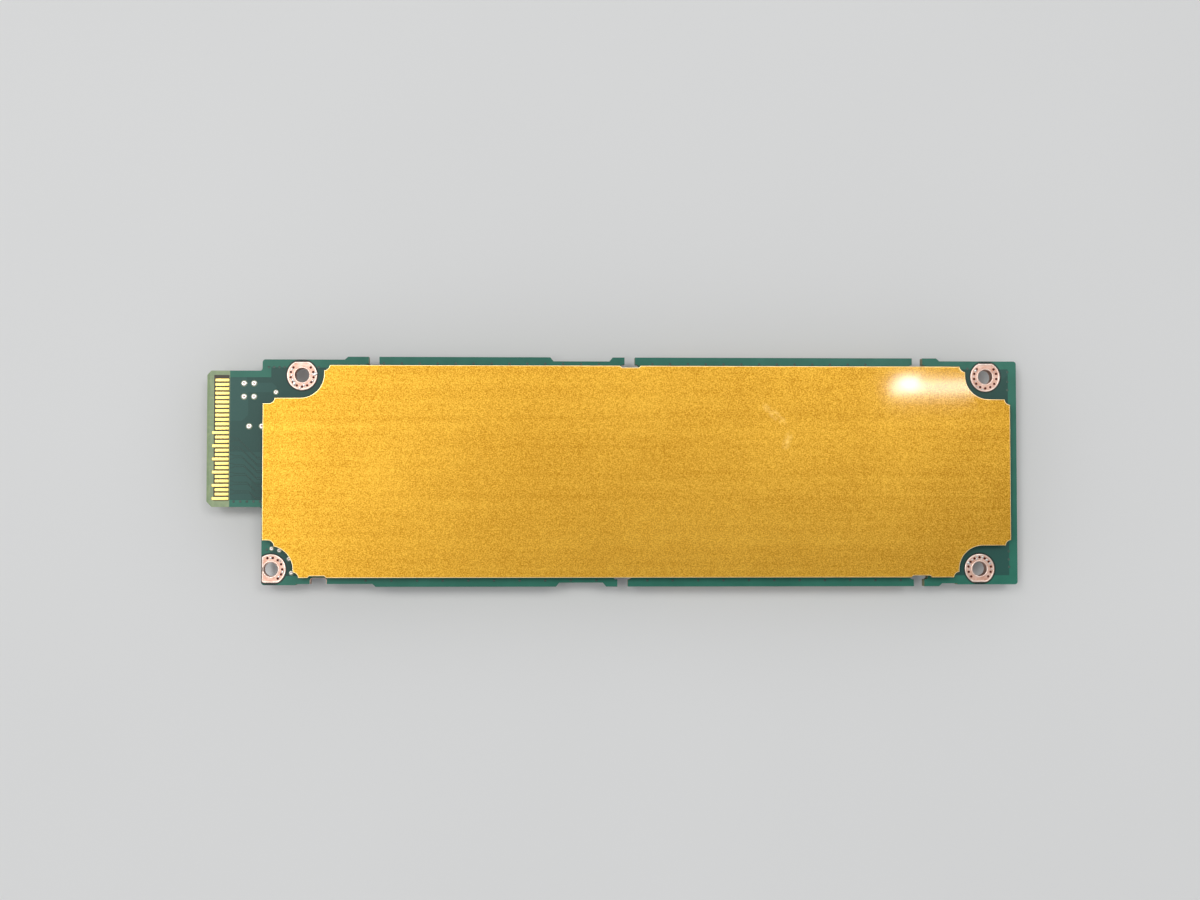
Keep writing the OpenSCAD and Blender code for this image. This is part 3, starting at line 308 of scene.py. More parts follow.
def finish(name, mesh, material, slot, *nodes, angle=40.0):
    """Makes a piece of this mesh that rides on the card and stands for these CAD nodes."""
    if material:
        mesh.materials.clear()
        mesh.materials.append(material)
    mesh.shade_smooth()
    mesh.set_sharp_from_angle(angle=math.radians(angle))
    piece = enter(name, mesh)
    # Wide flat faces keep their own normals beside narrow rounded edges
    piece.modifiers.new("flat_faces", "WEIGHTED_NORMAL").keep_sharp = True
    piece.data = baked(piece)
    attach(piece, "root")
    if nodes:
        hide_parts(*nodes)


def start_tree(name, **sizes):
    """A Geometry Nodes group with Geometry in and out, Material, and these named inputs."""
    tree = bpy.data.node_groups.new(name, "GeometryNodeTree")
    tree.interface.new_socket(name="Geometry", in_out="OUTPUT", socket_type="NodeSocketGeometry")
    for size, kind in ({"Geometry": "Geometry", "Material": "Material"} | sizes).items():
        tree.interface.new_socket(name=size.replace("_", " "), in_out="INPUT",
                                  socket_type="NodeSocket" + kind)
    return tree, add(tree, "NodeGroupInput").outputs


def end_tree(tree, given, geometry):
    """Ends a tree in Realize Instances and Set Material, and gives the tree."""
    real = add(tree, "GeometryNodeRealizeInstances", {0: geometry})
    dressed = add(tree, "GeometryNodeSetMaterial",
                  {"Geometry": real, "Material": given["Material"]})
    add(tree, "NodeGroupOutput", {0: dressed})
    return tree


def copies(tree, points, part, how):
    """Copies of an object at points, with these inputs for their turn and size."""
    info = add(tree, "GeometryNodeObjectInfo", {"Object": part})
    return add(tree, "GeometryNodeInstanceOnPoints",
               {"Points": points, "Instance": info.outputs["Geometry"]} | how)


def grow(tree, mesh, **inputs):
    """Runs a tree on a mesh with these inputs and gives the result as a plain mesh."""
    host = enter("host", mesh)
    modifier = host.modifiers.new("grow", "NODES")
    modifier.node_group = tree
    named = {item.name: item.identifier for item in tree.interface.items_tree
             if item.in_out == "INPUT"}
    for name, value in inputs.items():
        modifier[named[name.replace("_", " ")]] = value
    result = baked(host)
    bpy.data.objects.remove(host)
    return result


tree, given = start_tree("lacquered_traces", Width="Float", Height="Float")
bar = add(tree, "GeometryNodeCurvePrimitiveQuadrilateral", {0: given["Width"], 1: given["Height"]},
          mode="RECTANGLE")
lines = add(tree, "GeometryNodeMeshToCurve", {0: given["Geometry"]})
upright = add(tree, "GeometryNodeSetCurveNormal", {0: lines}, mode="Z_UP")
ribbons = add(tree, "GeometryNodeCurveToMesh", {0: upright, 1: bar, "Fill Caps": True})
trace_tree = end_tree(tree, given, ribbons)

# Traces under lacquer: the same lacquer, a shade darker over its narrow ridges, 0.5 mm mottling
trace_lacquer = mottled("lacquer_over_traces", "#2c4d43", "#1d4138", "#284f46", 0.5,
                        Roughness=0.3, IOR=1.5, Specular_IOR_Level=0.25)

verts, edges = [], []
# The traces of each face lie 2 microns deep in its lacquer
UPPER_LINE, LOWER_LINE = MASK_TOP - 0.002, MASK_UNDER + 0.002
# Distance between two contacts, and the place of the first one up the card
PITCH, FIRST_Y = 0.6, TAB_HIGH_Y - 1.3
# Service field: place of its first column, and distance between two of its pads
SERVICE_X, SERVICE_STEP = BOARD_HIGH.x - 5.4, 1.9


def run_trace(points, z):
    """Adds one trace along these places on the card, in millimetres."""
    edges.extend((len(verts) + i, len(verts) + i + 1) for i in range(len(points) - 1))
    verts.extend((x * MM, y * MM, z * MM) for x, y in points)


# Pairs leave every second contact, and each turns 0.25 mm later than the one above it
for pair in range(7):
    start_y = FIRST_Y - PITCH * (13.5 + 2 * pair)
    turn_x, fall = -51.4 + 0.25 * pair, 2.6 - 0.28 * pair
    for side in (-1, 1):
        y, run = start_y + side * 0.14, turn_x - side * 0.06
        run_trace([(-52.55, start_y + side * 0.3), (-52.2, start_y + side * 0.3), (-51.95, y),
                   (run, y), (run + fall, y - fall), (-46.9, y - fall)], UPPER_LINE)
# On the lower side each pair passes its coupling chips and turns in under the memory
for k in range(8):
    for side in (-1, 1):
        y = 10.2 - 1.6 * k + side * 0.4
        run_trace([(-52.5, y), (-50.5, y)], LOWER_LINE)
        y_in = 10.2 - 1.6 * k + side * 0.14
        run_trace([(-49.7, y), (-49.3, y_in), (-47.6, y_in)], LOWER_LINE)
# Buses of four lines cross the gaps between the flash packages, between the small chips
flash_boxes = [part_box("flash_lower_%d" % n) for n in range(1, 5)]
for left, right in zip(flash_boxes, flash_boxes[1:]):
    gap = (left[1].x / MM - 0.2, right[0].x / MM + 0.2)
    for k in range(-4, 4):
        for line in (-0.39, -0.13, 0.13, 0.39):
            y, jog = 2 * k + 1 + line, 0.3 * (-1) ** k
            mid_x = sum(gap) / 2 + line * (-1) ** k
            run_trace([(gap[0], y), (mid_x - 0.2, y), (mid_x + 0.2, y + jog), (gap[1], y + jog)],
                      LOWER_LINE)
# Supply lines run down the end of the card to the service field and the lights
for k in range(5):
    x, y = SERVICE_X, SERVICE_STEP * (k - 2)
    run_trace([(x - 5.0, y * 0.68), (x - 2.4, y * 0.68), (x - 2.4 + abs(y) * 0.32, y),
               (x - 0.4, y)], LOWER_LINE)
    run_trace([(x + 2.3, y), (x + 3.0, y * 0.9), (x + 3.0, y * 0.5)], LOWER_LINE)
paths = bpy.data.meshes.new("trace_paths")
paths.from_pydata(verts, edges, [])
finish("lacquered_traces", grow(trace_tree, paths, Material=trace_lacquer, Width=0.11 * MM,
                                Height=0.02 * MM), None, "solder_mask")


def around(at, radius, angle, z):
    """The place at height z that lies this far from a point, in a direction in degrees."""
    angle = math.radians(angle)
    return Vector((at[0] + radius * math.cos(angle), at[1] + radius * math.sin(angle), z))


def loop(length, width, radius, z, at=(0, 0), steps=4):
    """Corners of a rounded rectangle at height z, running anticlockwise, in millimetres."""
    points = []
    for q, (sx, sy) in enumerate(((1, 1), (-1, 1), (-1, -1), (1, -1))):
        corner = (at[0] + sx * (length / 2 - radius), at[1] + sy * (width / 2 - radius))
        points += [around(corner, radius, 90 * q + 90 * k / steps, z) for k in range(steps + 1)]
    return points


def tiers(length, width, mid, *rows, way=1, steps=4):
    """Rounded rectangles, one for each row of (added size, corner radius, height)."""
    return [loop(length + more, width + more, radius, z, mid, steps)[::way]
            for more, radius, z in rows]


def turned(steps, *rows, at=(0, 0), way=1):
    """Circles with this number of corners, one for each row of (radius, height)."""
    return [[around(at, radius, 360 * k / steps, z) for k in range(steps)][::way]
            for radius, z in rows]


def loft(bm, loops, materials=None, closed=(True, True)):
    """Adds faces between loops of equal length and over the first and the last loop."""
    rings = [[bm.verts.new(point * MM) for point in points] for points in loops]
    n = len(rings[0])
    for level, (low, high) in enumerate(zip(rings, rings[1:])):
        for i in range(n):
            quad = bm.faces.new((low[i], low[(i + 1) % n], high[(i + 1) % n], high[i]))
            quad.material_index = materials[level] if materials else 0
    if closed[0]:
        bm.faces.new(rings[0][::-1]).material_index = materials[0] if materials else 0
    if closed[1]:
        bm.faces.new(rings[-1]).material_index = materials[-1] if materials else 0
    return rings


def part_mesh(name, build, *materials):
    """The mesh that build(bm) makes, with these materials."""
    bm = bmesh.new()
    build(bm)
    mesh = bpy.data.meshes.new(name)
    bm.to_mesh(mesh)
    bm.free()
    for material in materials:
        mesh.materials.append(material)
    return mesh


# Sets copies of one part out on the card: each place gives where, how it turns, and its size
tree, given = start_tree("set_out", Part="Object")
turn = add(tree, "GeometryNodeInputNamedAttribute", {"Name": "turn"}, data_type="FLOAT_VECTOR")
rotation = add(tree, "FunctionNodeEulerToRotation", {0: turn})
size = add(tree, "GeometryNodeInputNamedAttribute", {"Name": "size"}, data_type="FLOAT_VECTOR")
parts = copies(tree, given["Geometry"], given["Part"], {"Rotation": rotation, "Scale": size})
set_out_tree = end_tree(tree, given, parts)


def set_out(part, places, material):
    """Copies of a part mesh at places ((x, y, z), (turn x, y, z), (size x, y, z)), in mm."""
    points = bpy.data.meshes.new("places")
    points.from_pydata([Vector(at) * MM for at, _, _ in places], [], [])
    for name, values in (("turn", [p[1] for p in places]), ("size", [p[2] for p in places])):
        layer = points.attributes.new(name, "FLOAT_VECTOR", "POINT")
        layer.data.foreach_set("vector", [c for value in values for c in value])
    source = enter("part", part)
    result = grow(set_out_tree, points, Part=source, Material=material)
    bpy.data.objects.remove(source)
    return result


UP, DOWN = (0, 0, 0), (math.pi, 0, 0)
via_cap = part_mesh("tented_via", lambda bm: loft(bm, turned(
    14, (0.24, -0.005), (0.20, 0.014), (0.11, 0.014), (0.06, 0.002))))
EDGE_VIAS = [(-47.34, 14.29), (-46.62, 14.29), (-45.89, 14.29), (-45.21, 14.29), (-40.56, 14.29),
             (54.55, 13.88), (54.54, 12.51), (54.53, 11.37), (48.98, 14.34), (54.56, -10.95),
             (54.55, -12.06), (54.60, -13.09), (-47.45, -10.66)]
EDGE_VIAS += [(-52.0 + 0.9 * i, -4.1) for i in range(5)]
# The rows along the edges skip the clip slots
EDGE_VIAS += [(x, 14.85) for x in (-31.67 + 2.46 * i for i in range(28)) if abs(x - 2.1) > 2.5]
EDGE_VIAS += [(x, -14.9) for x in (-34.0 + 3.5 * i for i in range(22)) if abs(x - 1.1) > 2.2]
under_vias = EDGE_VIAS + [(-36.5 + 2.6 * i, s * 14.75) for i in range(12) for s in (-1, 1)]
places = [((x, y, MASK_TOP), UP, (0.8, 0.8, 1)) for x, y in EDGE_VIAS]
places += [((x, y, MASK_UNDER), DOWN, (1, 1, 1)) for x, y in under_vias]
# Lacquer that has sunk into the mouth of each via, in 0.3 mm specks
via_lacquer = mottled("lacquer_over_vias", "#2c4a40", "#1f3a30", "#3f6355", 0.3,
                      Roughness=0.3, IOR=1.5)
finish("tented_vias", set_out(via_cap, places, via_lacquer), None, "solder_mask")


# Edge contacts. 28 fingers a side, 0.6 mm apart, of copper plated with nickel and hard gold.
# The long ones meet the connector first. Plugging in draws fine scratches along each one.
tree, given = start_tree("contact_row", Finger="Object", Count="Int", Pitch="Float",
                         Long_Ratio="Float", Supply_Count="Int")
line = add(tree, "GeometryNodeMeshLine", {"Count": given["Count"]}, mode="OFFSET")
down = add(tree, "CombineXYZ",
           {"Y": add(tree, "Math", {0: given["Pitch"], 1: -1.0}, operation="MULTIPLY")})
feed(tree, line, {"Offset": down})
number = add(tree, "GeometryNodeInputIndex")
# From the thirteenth contact on, each third one is long, and so are the first supply contacts
third = add(tree, "Math", {0: number, 1: 3.0}, operation="MODULO")
is_third = add(tree, "Math", {0: third, 1: 0.0, 2: 0.1}, operation="COMPARE")
late = add(tree, "Math", {0: number, 1: 11.5}, operation="GREATER_THAN")
by_third = add(tree, "Math", {0: is_third, 1: late}, operation="MULTIPLY")
supply = add(tree, "Math", {0: number, 1: given["Supply Count"]}, operation="LESS_THAN")
is_long = add(tree, "Math", {0: by_third, 1: supply}, operation="MAXIMUM")
stretch = add(tree, "MapRange", {"Value": is_long, "To Max": given["Long Ratio"], "To Min": 1.0})
stretched = add(tree, "CombineXYZ", {"X": stretch, "Y": 1.0, "Z": 1.0})
fingers = copies(tree, line, given["Finger"], {"Scale": stretched})
contact_tree = end_tree(tree, given, fingers)

SHORT_L, LONG_L, CONTACT_W, CONTACT_T = 1.9, 2.3, 0.42, 0.05
ROOT_X = BOARD_LOW.x + 3.05
# Hard gold over nickel: scratches of about 0.05 mm, drawn out along the card
hard_gold = mottled("hard_gold_plating", "#f7e6ac", "#e6c868", "#f6e08c", 0.05,
                    drawn=(0.04, 1, 1), satin=(0.32, 0.46), relief=(0.1, 0.005),
                    Metallic=1.0, Roughness=0.24)


def finger(bm):
    """One finger, from its inner end at x = 0 out to x = -SHORT_L, with softened edges."""
    loft(bm, tiers(SHORT_L, CONTACT_W, (-SHORT_L / 2, 0), (0, 0.08, 0), (0, 0.08, 0.032),
                   (-0.03, 0.07, 0.044), (-0.09, 0.05, CONTACT_T)))


finger_part = enter("finger", part_mesh("finger", finger))
for name, node, level, flip, supply_count in (
        ("contacts_upper", "edge_contacts_upper", BOARD_HIGH.z, 1, 0),
        ("contacts_lower", "edge_contacts_lower", BOARD_LOW.z, -1, 6)):
    row = grow(contact_tree, bpy.data.meshes.new("row"), Finger=finger_part, Count=28,
               Pitch=PITCH * MM, Long_Ratio=LONG_L / SHORT_L, Supply_Count=supply_count,
               Material=hard_gold)
    for vertex in row.vertices:
        vertex.co.x += ROOT_X * MM
        vertex.co.y += FIRST_Y * MM
        vertex.co.z = vertex.co.z * flip + level * MM
    if flip < 0:
        row.flip_normals()
    finish(name, row, None, "contact_gold", node)
bpy.data.objects.remove(finger_part)


# Screw pads. Four plated holes with a wide copper land on each face, where the tray's screws
# clamp the card. Their rims are rounded and pale, and a few solder islands lie between the vias.
paint(pad_copper, *["screw_pad_" + name for name in SCREWS])

# Tin-silver solder that was melted in the oven: bright, with a frozen skin of 0.12 mm grains
solder = mottled("reflowed_solder", "#e4e4e2", "#bfbdb9", "#e3dfd9", 0.12, satin=(0.2, 0.46),
                 relief=(0.3, 0.01), Metallic=1.0, Roughness=0.28)

tree, given = start_tree("solder_islands", Island="Object", Seed="Int", Density="Float",
                         Spacing="Float", Smallest="Float", Largest="Float")
scatter = add(tree, "GeometryNodeDistributePointsOnFaces",
              {"Mesh": given["Geometry"], "Distance Min": given["Spacing"],
               "Density Max": given["Density"], "Seed": given["Seed"]},
              distribute_method="POISSON")
sizes = add(tree, "FunctionNodeRandomValue",
            {"Seed": given["Seed"], 0: (0.6, 0.5, 0.7), 1: (1.5, 1.0, 1.1)},
            data_type="FLOAT_VECTOR")
spread = add(tree, "FunctionNodeRandomValue",
             {2: given["Smallest"], 3: given["Largest"], "Seed": given["Seed"]}, data_type="FLOAT")
scaled = add(tree, "VectorMath", {0: sizes, "Scale": spread}, operation="SCALE")
spin = add(tree, "FunctionNodeRandomValue",
           {"Seed": given["Seed"], 0: (0, 0, 0), 1: (0, 0, math.pi)}, data_type="FLOAT_VECTOR")
way = add(tree, "FunctionNodeEulerToRotation", {0: spin})
islands = copies(tree, scatter, given["Island"], {"Rotation": way, "Scale": scaled})
island_tree = end_tree(tree, given, islands)

island_part = enter("island", part_mesh("island", lambda bm: loft(bm, turned(
    12, (0.5, 0), (0.44, 0.07), (0.3, 0.12)))))

# Degrees from one stitching via to the next, and how far each stands from the hole's axis
VIA_STEP, VIA_RING = 26.4, 1.58
# Height of the faces of the lands, whose copper is 0.05 mm thick
LAND_TOP, LAND_UNDER = BOARD_HIGH.z + 0.05, BOARD_LOW.z - 0.05


def between_vias(bm, at, first, count, turn, z):
    """The parts of a land's face that lie between its vias."""
    for k in range(count - 1):
        mid = first + turn * VIA_STEP * (k + 0.5)
        bm.faces.new([bm.verts.new(around(at, radius, mid + angle, z) * MM) for radius, angle in (
            (1.35, -5), (1.8, -4), (1.8, 4), (1.35, 5))])


def land_rims(bm):
    """Rounded rims of the eight lands, along their flats too, and of the holes."""
    for name, (x, y, *_) in SCREWS.items():
        side = 1 if y > 0 else -1
        left = 1.18 if name == "lower_left" else 9.0
        for face_z, way in ((LAND_TOP, 1), (LAND_UNDER, -1)):
            # Rim of the land and rim of the hole: radius, width, distance of the flat
            for radius, width, flat in ((2.05, 0.2, 1.82), (1.17, 0.15, 9.0)):
                rows = []
                for inset, rise in ((0, -0.01), (0.04, 0.012), (width - 0.05, 0.012),
                                    (width, -0.01)):
                    ring = [Vector((x + max((radius - inset) * math.cos(a), inset - left),
                                    y + side * min((radius - inset) * math.sin(a), flat - inset),
                                    face_z + way * rise))
                            for a in [math.tau * k / 64 for k in range(64)]]
                    rows.append(ring[::way * side])
                loft(bm, rows, closed=(False, False))


rim_copper = copper_finish("polished_copper_rim", "#f0e0d5", "#e0c4b5", 0.32)
finish("land_rims", part_mesh("land_rims", land_rims), rim_copper, "bare_copper")
via_places = []
for index, (name, (x, y, first, count, turn)) in enumerate(SCREWS.items()):
    land = part_mesh("land", lambda bm: between_vias(bm, (x, y), first, count, turn, LAND_TOP))
    islands_mesh = grow(island_tree, land, Island=island_part, Seed=7 + index,
                        Density=9.0e6, Spacing=0.3 * MM, Smallest=0.26, Largest=0.5,
                        Material=solder)
    finish("solder_islands_" + name, islands_mesh, None, "tin")
    via_places += [(around((x, y), VIA_RING, first + turn * VIA_STEP * k, z), way,
                    (1.2, 1.2, 1.15)) for k in range(count)
                   for z, way in ((BOARD_HIGH.z, UP), (BOARD_LOW.z, DOWN))]
bpy.data.objects.remove(island_part)

# Vias seen end on: painted shade of their bores over oxidised copper, dark red-brown, 0.1 mm
# specks
via_bore = mottled("via_bore_painted_shade", "#4a1f14", "#34100a", "#743120", 0.1,
                   Metallic=0.6, Roughness=0.5)
dish = part_mesh("via_dish", lambda bm: loft(bm, turned(
    12, (0.15, 0), (0.145, 0.056), (0.1, 0.056), (0.06, 0.02))))
finish("stitching_vias", set_out(dish, via_places, via_bore), None, "bare_copper")


# Test pads. Round copper lands that the oven has tinned: a shallow dome of solder round a
# via mouth. Seven stand on the tab and by the shoulder, four round the lower left screw.
pad_part = part_mesh("tinned_pad", lambda bm: loft(bm, turned(
    20, (0.5, 0), (0.47, 0.045), (0.36, 0.075), (0.22, 0.07), (0.13, 0.05), (0.11, 0.012))))
# Place, measured from the corner of the tab and the shoulder, and width of each
grid = [(-1.14 - 1.36 * i, -1.74 - 1.82 * j, 0.76) for i in range(2) for j in range(2)]
grid += [(-1.79, -7.62, 0.76), (-0.05, -7.62, 0.76), (1.84, -2.95, 0.63)]
pads = [(SHOULDER_X + x, TAB_HIGH_Y + y, d) for x, y, d in grid]
round_screw = [around(SCREWS["lower_left"], 2.84, angle, 0) for angle in (88, 66, 30, 350)]
pads += [(at.x, at.y, 0.56) for at in round_screw]
service = [(SERVICE_X + SERVICE_STEP * c, SERVICE_STEP * (k - 2), 1.0)
           for c in range(2) for k in range(5)]
mouths = []
for side, z, way, mouth, spots in (("upper", BOARD_HIGH.z, UP, 0.6, pads),
                                   ("lower", BOARD_LOW.z, DOWN, 0.7, service)):
    domes = set_out(pad_part, [((x, y, z), way, (d, d, 1)) for x, y, d in spots], solder)
    finish("tinned_pads_" + side, domes, None, "tin", "test_pads_" + side)
    mouths += [((x, y, z), way, (mouth, mouth, 0.8)) for x, y, _ in spots]
finish("test_pad_vias", set_out(dish, mouths, pad_copper), None, "bare_copper")


# Thermal pads. Soft silicone sheet filled with ceramic powder, 0.25 mm thick once pressed.
# The sheet's weight squeezes each one out a little past its package's straight sides.
def box_sizes(node):
    """Middle, length, width, lowest and highest z of a CAD node, in millimetres."""
    low, high = [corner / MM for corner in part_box(node)]
    return (low + high) / 2, high.x - low.x, high.y - low.y, low.z, high.z


gap_filler, tree, shader, place = start_material("filled_silicone_pad", "#8e97a8", Roughness=0.75,
                                                 IOR=1.42)
# Ceramic filler shows as pale specks of about 0.1 mm
filler = add(tree, "TexVoronoi", {"Vector": place, "Scale": 1 / (0.2 * MM)})
speck = add(tree, "MapRange", {"Value": filler, "From Min": 0.1, "From Max": 0.35})
tone = add(tree, "Mix", {0: speck, 6: "#c3c8d2", 7: "#8e97a8"}, data_type="RGBA")
relief = add(tree, "Bump", {"Height": filler, "Strength": 0.3, "Distance": 0.02 * MM})
feed(tree, shader, {"Base Color": tone, "Normal": relief})
for node in ["thermal_pad_" + name for name in ("controller", "1", "2", "3", "4")]:
    mid, length, width, low, high = box_sizes(node)
    squeezed = part_mesh(node, lambda bm: loft(bm, tiers(
        length, width, mid, (0, 0.3, low), (0.1, 0.35, low + 0.06), (0.14, 0.37, (low + high) / 2),
        (0.1, 0.35, high - 0.06), (0, 0.3, high))))
    finish("squeezed_" + node, squeezed, gap_filler, "thermal_pad", node)


# Heat spreader. Aluminium sheet 0.6 mm thick, blanked and coined, then dyed gold and sealed.
# It lies on the thermal pads. Its rim carries a painted highlight and its side painted shade, and
# rolling left faint streaks along it.
sheet_gold, tree, shader, place = start_material(
    "gold_anodised_aluminium", "#c89527", Metallic=1.0, Roughness=0.36, Coat_Weight=0.6,
    Coat_Roughness=0.05, Coat_IOR=1.5, Specular_Tint="#ffdb85")
# Etched grain of 0.17 mm, rolling streaks 0.4 mm wide and long as the sheet, clouds of 12 mm
grain = add(tree, "TexNoise",
            {"Vector": place, "Scale": 1 / (0.17 * MM), "Detail": 2.0, "Roughness": 0.7})
rolled = add(tree, "Mapping", {"Vector": place, "Scale": (0.015, 1, 1)})
streak = add(tree, "TexNoise", {"Vector": rolled, "Scale": 1 / (0.8 * MM), "Detail": 3.0})
cloud = add(tree, "TexNoise", {"Vector": place, "Scale": 1 / (12 * MM), "Detail": 3.0})
# The dye's depth takes these shares of the grain, the streaks and the clouds
mixed = 0.0
for pattern, share in ((grain, 0.78), (streak, 0.1), (cloud, 0.12)):
    mixed = add(tree, "Math", {0: pattern, 1: share, 2: mixed}, operation="MULTIPLY_ADD")
depth = add(tree, "MapRange", {"Value": mixed, "From Min": 0.38, "From Max": 0.62})
dye = add(tree, "Mix", {0: depth, 6: "#a87515", 7: "#dbab3c"}, data_type="RGBA")
# Two rubbed places, 5 and 3 mm long, in soft pale flecks
rubs = []
for at, turn, reach in (((21.8, 7.9), -40, (2.6, 0.75)), ((23.6, 4.2), 70, (1.6, 0.75))):
    spot = add(tree, "Mapping",
               {"Vector": place, "Location": (at[0] * MM, at[1] * MM, 0),
                "Rotation": (0, 0, math.radians(turn)),
                "Scale": (reach[0] * MM, reach[1] * MM, 1)}, vector_type="TEXTURE")
    rubs.append(add(tree, "VectorMath", {0: spot}, operation="LENGTH"))
nearest = add(tree, "Math", {0: rubs[0], 1: rubs[1]}, operation="MINIMUM")
rub_near = add(tree, "MapRange",
               {"Value": nearest, "From Min": 0.2, "From Max": 1.0, "To Min": 1.0, "To Max": 0.0})
flecks = add(tree, "TexNoise",
             {"Vector": place, "Scale": 1 / (0.6 * MM), "Detail": 4.0, "Roughness": 0.7})
fleck = add(tree, "MapRange", {"Value": flecks, "From Min": 0.42, "From Max": 0.72})
rubbed = add(tree, "Math", {0: rub_near, 1: fleck}, operation="MULTIPLY")
pale = add(tree, "Mix", {0: rubbed, 6: dye, 7: "#ecc26c"}, data_type="RGBA")
satin = add(tree, "MapRange",
            {"Value": mixed, "From Min": 0.36, "From Max": 0.64, "To Min": 0.42, "To Max": 0.33})
# The sheet is flat to a few tenths of a millimetre, in waves of 30 mm
wave = add(tree, "TexNoise", {"Vector": place, "Scale": 1 / (30 * MM), "Detail": 0.0})
bow = add(tree, "Bump", {"Height": wave, "Strength": 0.5, "Distance": 0.25 * MM})
relief = add(tree, "Bump",
             {"Height": grain, "Normal": bow, "Strength": 0.7, "Distance": 0.012 * MM})
feed(tree, shader, {"Base Color": pale, "Roughness": satin, "Normal": relief})

# The coined rim is painted paler and smoother than the sheet, a painted highlight along its edges,
# with 0.6 mm nicks
rim_gold_painted_highlight = mottled("gold_rim_painted_highlight", "#f7dd98", "#f6da94", "#fff0c6", 0.6, 3.0,
                   Metallic=1.0, Roughness=0.36, Specular_Tint="#ffe08c")

# Its blanked side, torn in 0.3 mm patches, is painted brown gold: painted shade along the sheet's
# edges
side_gold_painted_shade = mottled("gold_side_painted_shade", "#5c421a", "#4a3212", "#6e5122", 0.3, 3.0,
                    Metallic=1.0, Roughness=0.5)


def load(bm, node):
    """Fills a bmesh with a CAD node, and joins its triangles into flat faces."""
    bm.from_mesh(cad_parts[node].data)
    bmesh.ops.remove_doubles(bm, verts=bm.verts, dist=2e-6)
    bmesh.ops.dissolve_limit(bm, angle_limit=math.radians(1.0), verts=bm.verts, edges=bm.edges)


def coined_sheet(bm):
    """The sheet with its upper edges rounded, level strips in material 1 (painted highlight),
    steep ones and sides in 2 (painted shade).
    """
    load(bm, "heat_spreader")
    rims = [edge for edge in bm.edges if len(edge.link_faces) == 2
            and max(f.normal.z for f in edge.link_faces) > 0.9
            and min(f.normal.z for f in edge.link_faces) < 0.5]
    rounded = bmesh.ops.bevel(bm, geom=rims, offset=0.36 * MM, segments=6, profile=0.75,
                              affect="EDGES", clamp_overlap=True)
    bm.normal_update()
    for side in bm.faces:
        if abs(side.normal.z) < 0.95:
            side.material_index = 2
    for strip in rounded["faces"]:
        strip.material_index = 1 if strip.normal.z > 0.95 else 2


finish("gold_sheet", part_mesh("gold_sheet", coined_sheet, sheet_gold, rim_gold_painted_highlight, side_gold_painted_shade), None,
       "gold_anodised", "heat_spreader", angle=30.0)


# Memory and controller packages. A thin glass-epoxy carrier with black moulding compound on
# it, soldered to the card by a grid of balls. A polished dimple marks the corner of ball one.

# Epoxy mould compound: its silica filler shows as 0.12 mm mottling, and its skin has a low sheen
mould = mottled("black_mould_compound", "#232427", "#17181a", "#34363a", 0.12, 3.0, fine=0.7,
                satin=(0.42, 0.7), relief=(0.35, 0.012), Roughness=0.55)

# Package carrier: dark green lacquered laminate, with the 0.3 mm marks of the saw on its edges
carrier = mottled("package_carrier_laminate", "#2c4f3c", "#223f30", "#6f7a4a", 0.3,
                  drawn=(1, 1, 6), Roughness=0.4, IOR=1.5)


def package(bm, mid, length, width, base, top, carrier_t, dimple, corner):
    """A moulded package from base to top, on a carrier, with a dimple at its first corner."""
    way = 1 if top > base else -1
    carrier_top = base + way * carrier_t
    levels = tiers(length, width, mid, (0, corner, base), (0, corner, carrier_top),
                   (-0.04, corner, carrier_top + way * 0.01), (-0.06, corner, top - way * 0.04),
                   (-0.14, corner, top), way=way)
    rings = loft(bm, levels, [1, 1, 0, 0], closed=(True, False))
    spot = (mid[0] - length / 2 + 1.3 * dimple + 0.4, mid[1] + width / 2 - 1.3 * dimple - 0.4)
    inner = turned(20, (dimple, top), (dimple * 0.9, top - way * 0.03),
                   (dimple * 0.8, top - way * 0.035), at=spot, way=way)
    dish_rings = loft(bm, inner, [0, 0], closed=(False, True))
    rim = [bm.edges.get((ring[i], ring[(i + 1) % len(ring)]))
           for ring in (rings[-1], dish_rings[0]) for i in range(len(ring))]
    bmesh.ops.triangle_fill(bm, use_beauty=True, use_dissolve=False, edges=rim)
    bmesh.ops.recalc_face_normals(bm, faces=bm.faces)


def dress_package(node, carrier_t=0.2, dimple=0.55, corner=0.15, foot=carrier):
    """Puts a detailed package in place of a CAD block, with its foot towards the card."""
    mid, length, width, low, high = box_sizes(node)
    base, top = (low, high) if low > BOARD_LOW.z else (high, low)
    mesh = part_mesh(node, lambda bm: package(
        bm, mid, length, width, base, top, carrier_t, dimple, corner), mould, foot)
    finish("moulded_" + node, mesh, None, "mould_compound", node)


for number in range(1, 5):
    dress_package("flash_upper_%d" % number)
    dress_package("flash_lower_%d" % number)
for number in (1, 2):
    dress_package("working_memory_%d" % number, dimple=0.4)
dress_package("controller_cap", 0.02, 0.5, 0.5, mould)
mid, length, width, low, high = box_sizes("controller_substrate")
finish("controller_carrier", part_mesh("controller_carrier", lambda bm: loft(bm, tiers(
    length, width, mid, (-0.04, 0.2, low), (0, 0.2, low + 0.03), (0, 0.2, high - 0.03),
    (-0.04, 0.2, high)))), carrier, "package_substrate", "controller_substrate")


# Underfill. Dark epoxy drawn between the balls after soldering, which ends in a glossy fillet
# along the foot of each ball-grid package.

# Cured epoxy: near black and glossy, with flow lines about 1 mm apart
fillet_epoxy = mottled("underfill_epoxy", "#1d1712", "#15100c", "#32271c", 1.0,
                       relief=(0.3, 0.05), Roughness=0.18, IOR=1.55)


def bead(bm, node, board_face, way):
    """A concave bead of epoxy that fills the gap under a package."""
    mid, length, width, low, high = box_sizes(node)
    rows = [(2 * out, 0.15 + out, board_face + way * rise) for rise, out in (
        (-0.02, 0.34), (0.03, 0.2), (0.1, 0.1), (0.2, 0.04), (0.3, 0.0))]
    loft(bm, tiers(length, width, mid, *rows, (-1.0, 0.15, board_face + way * 0.2), way=way))


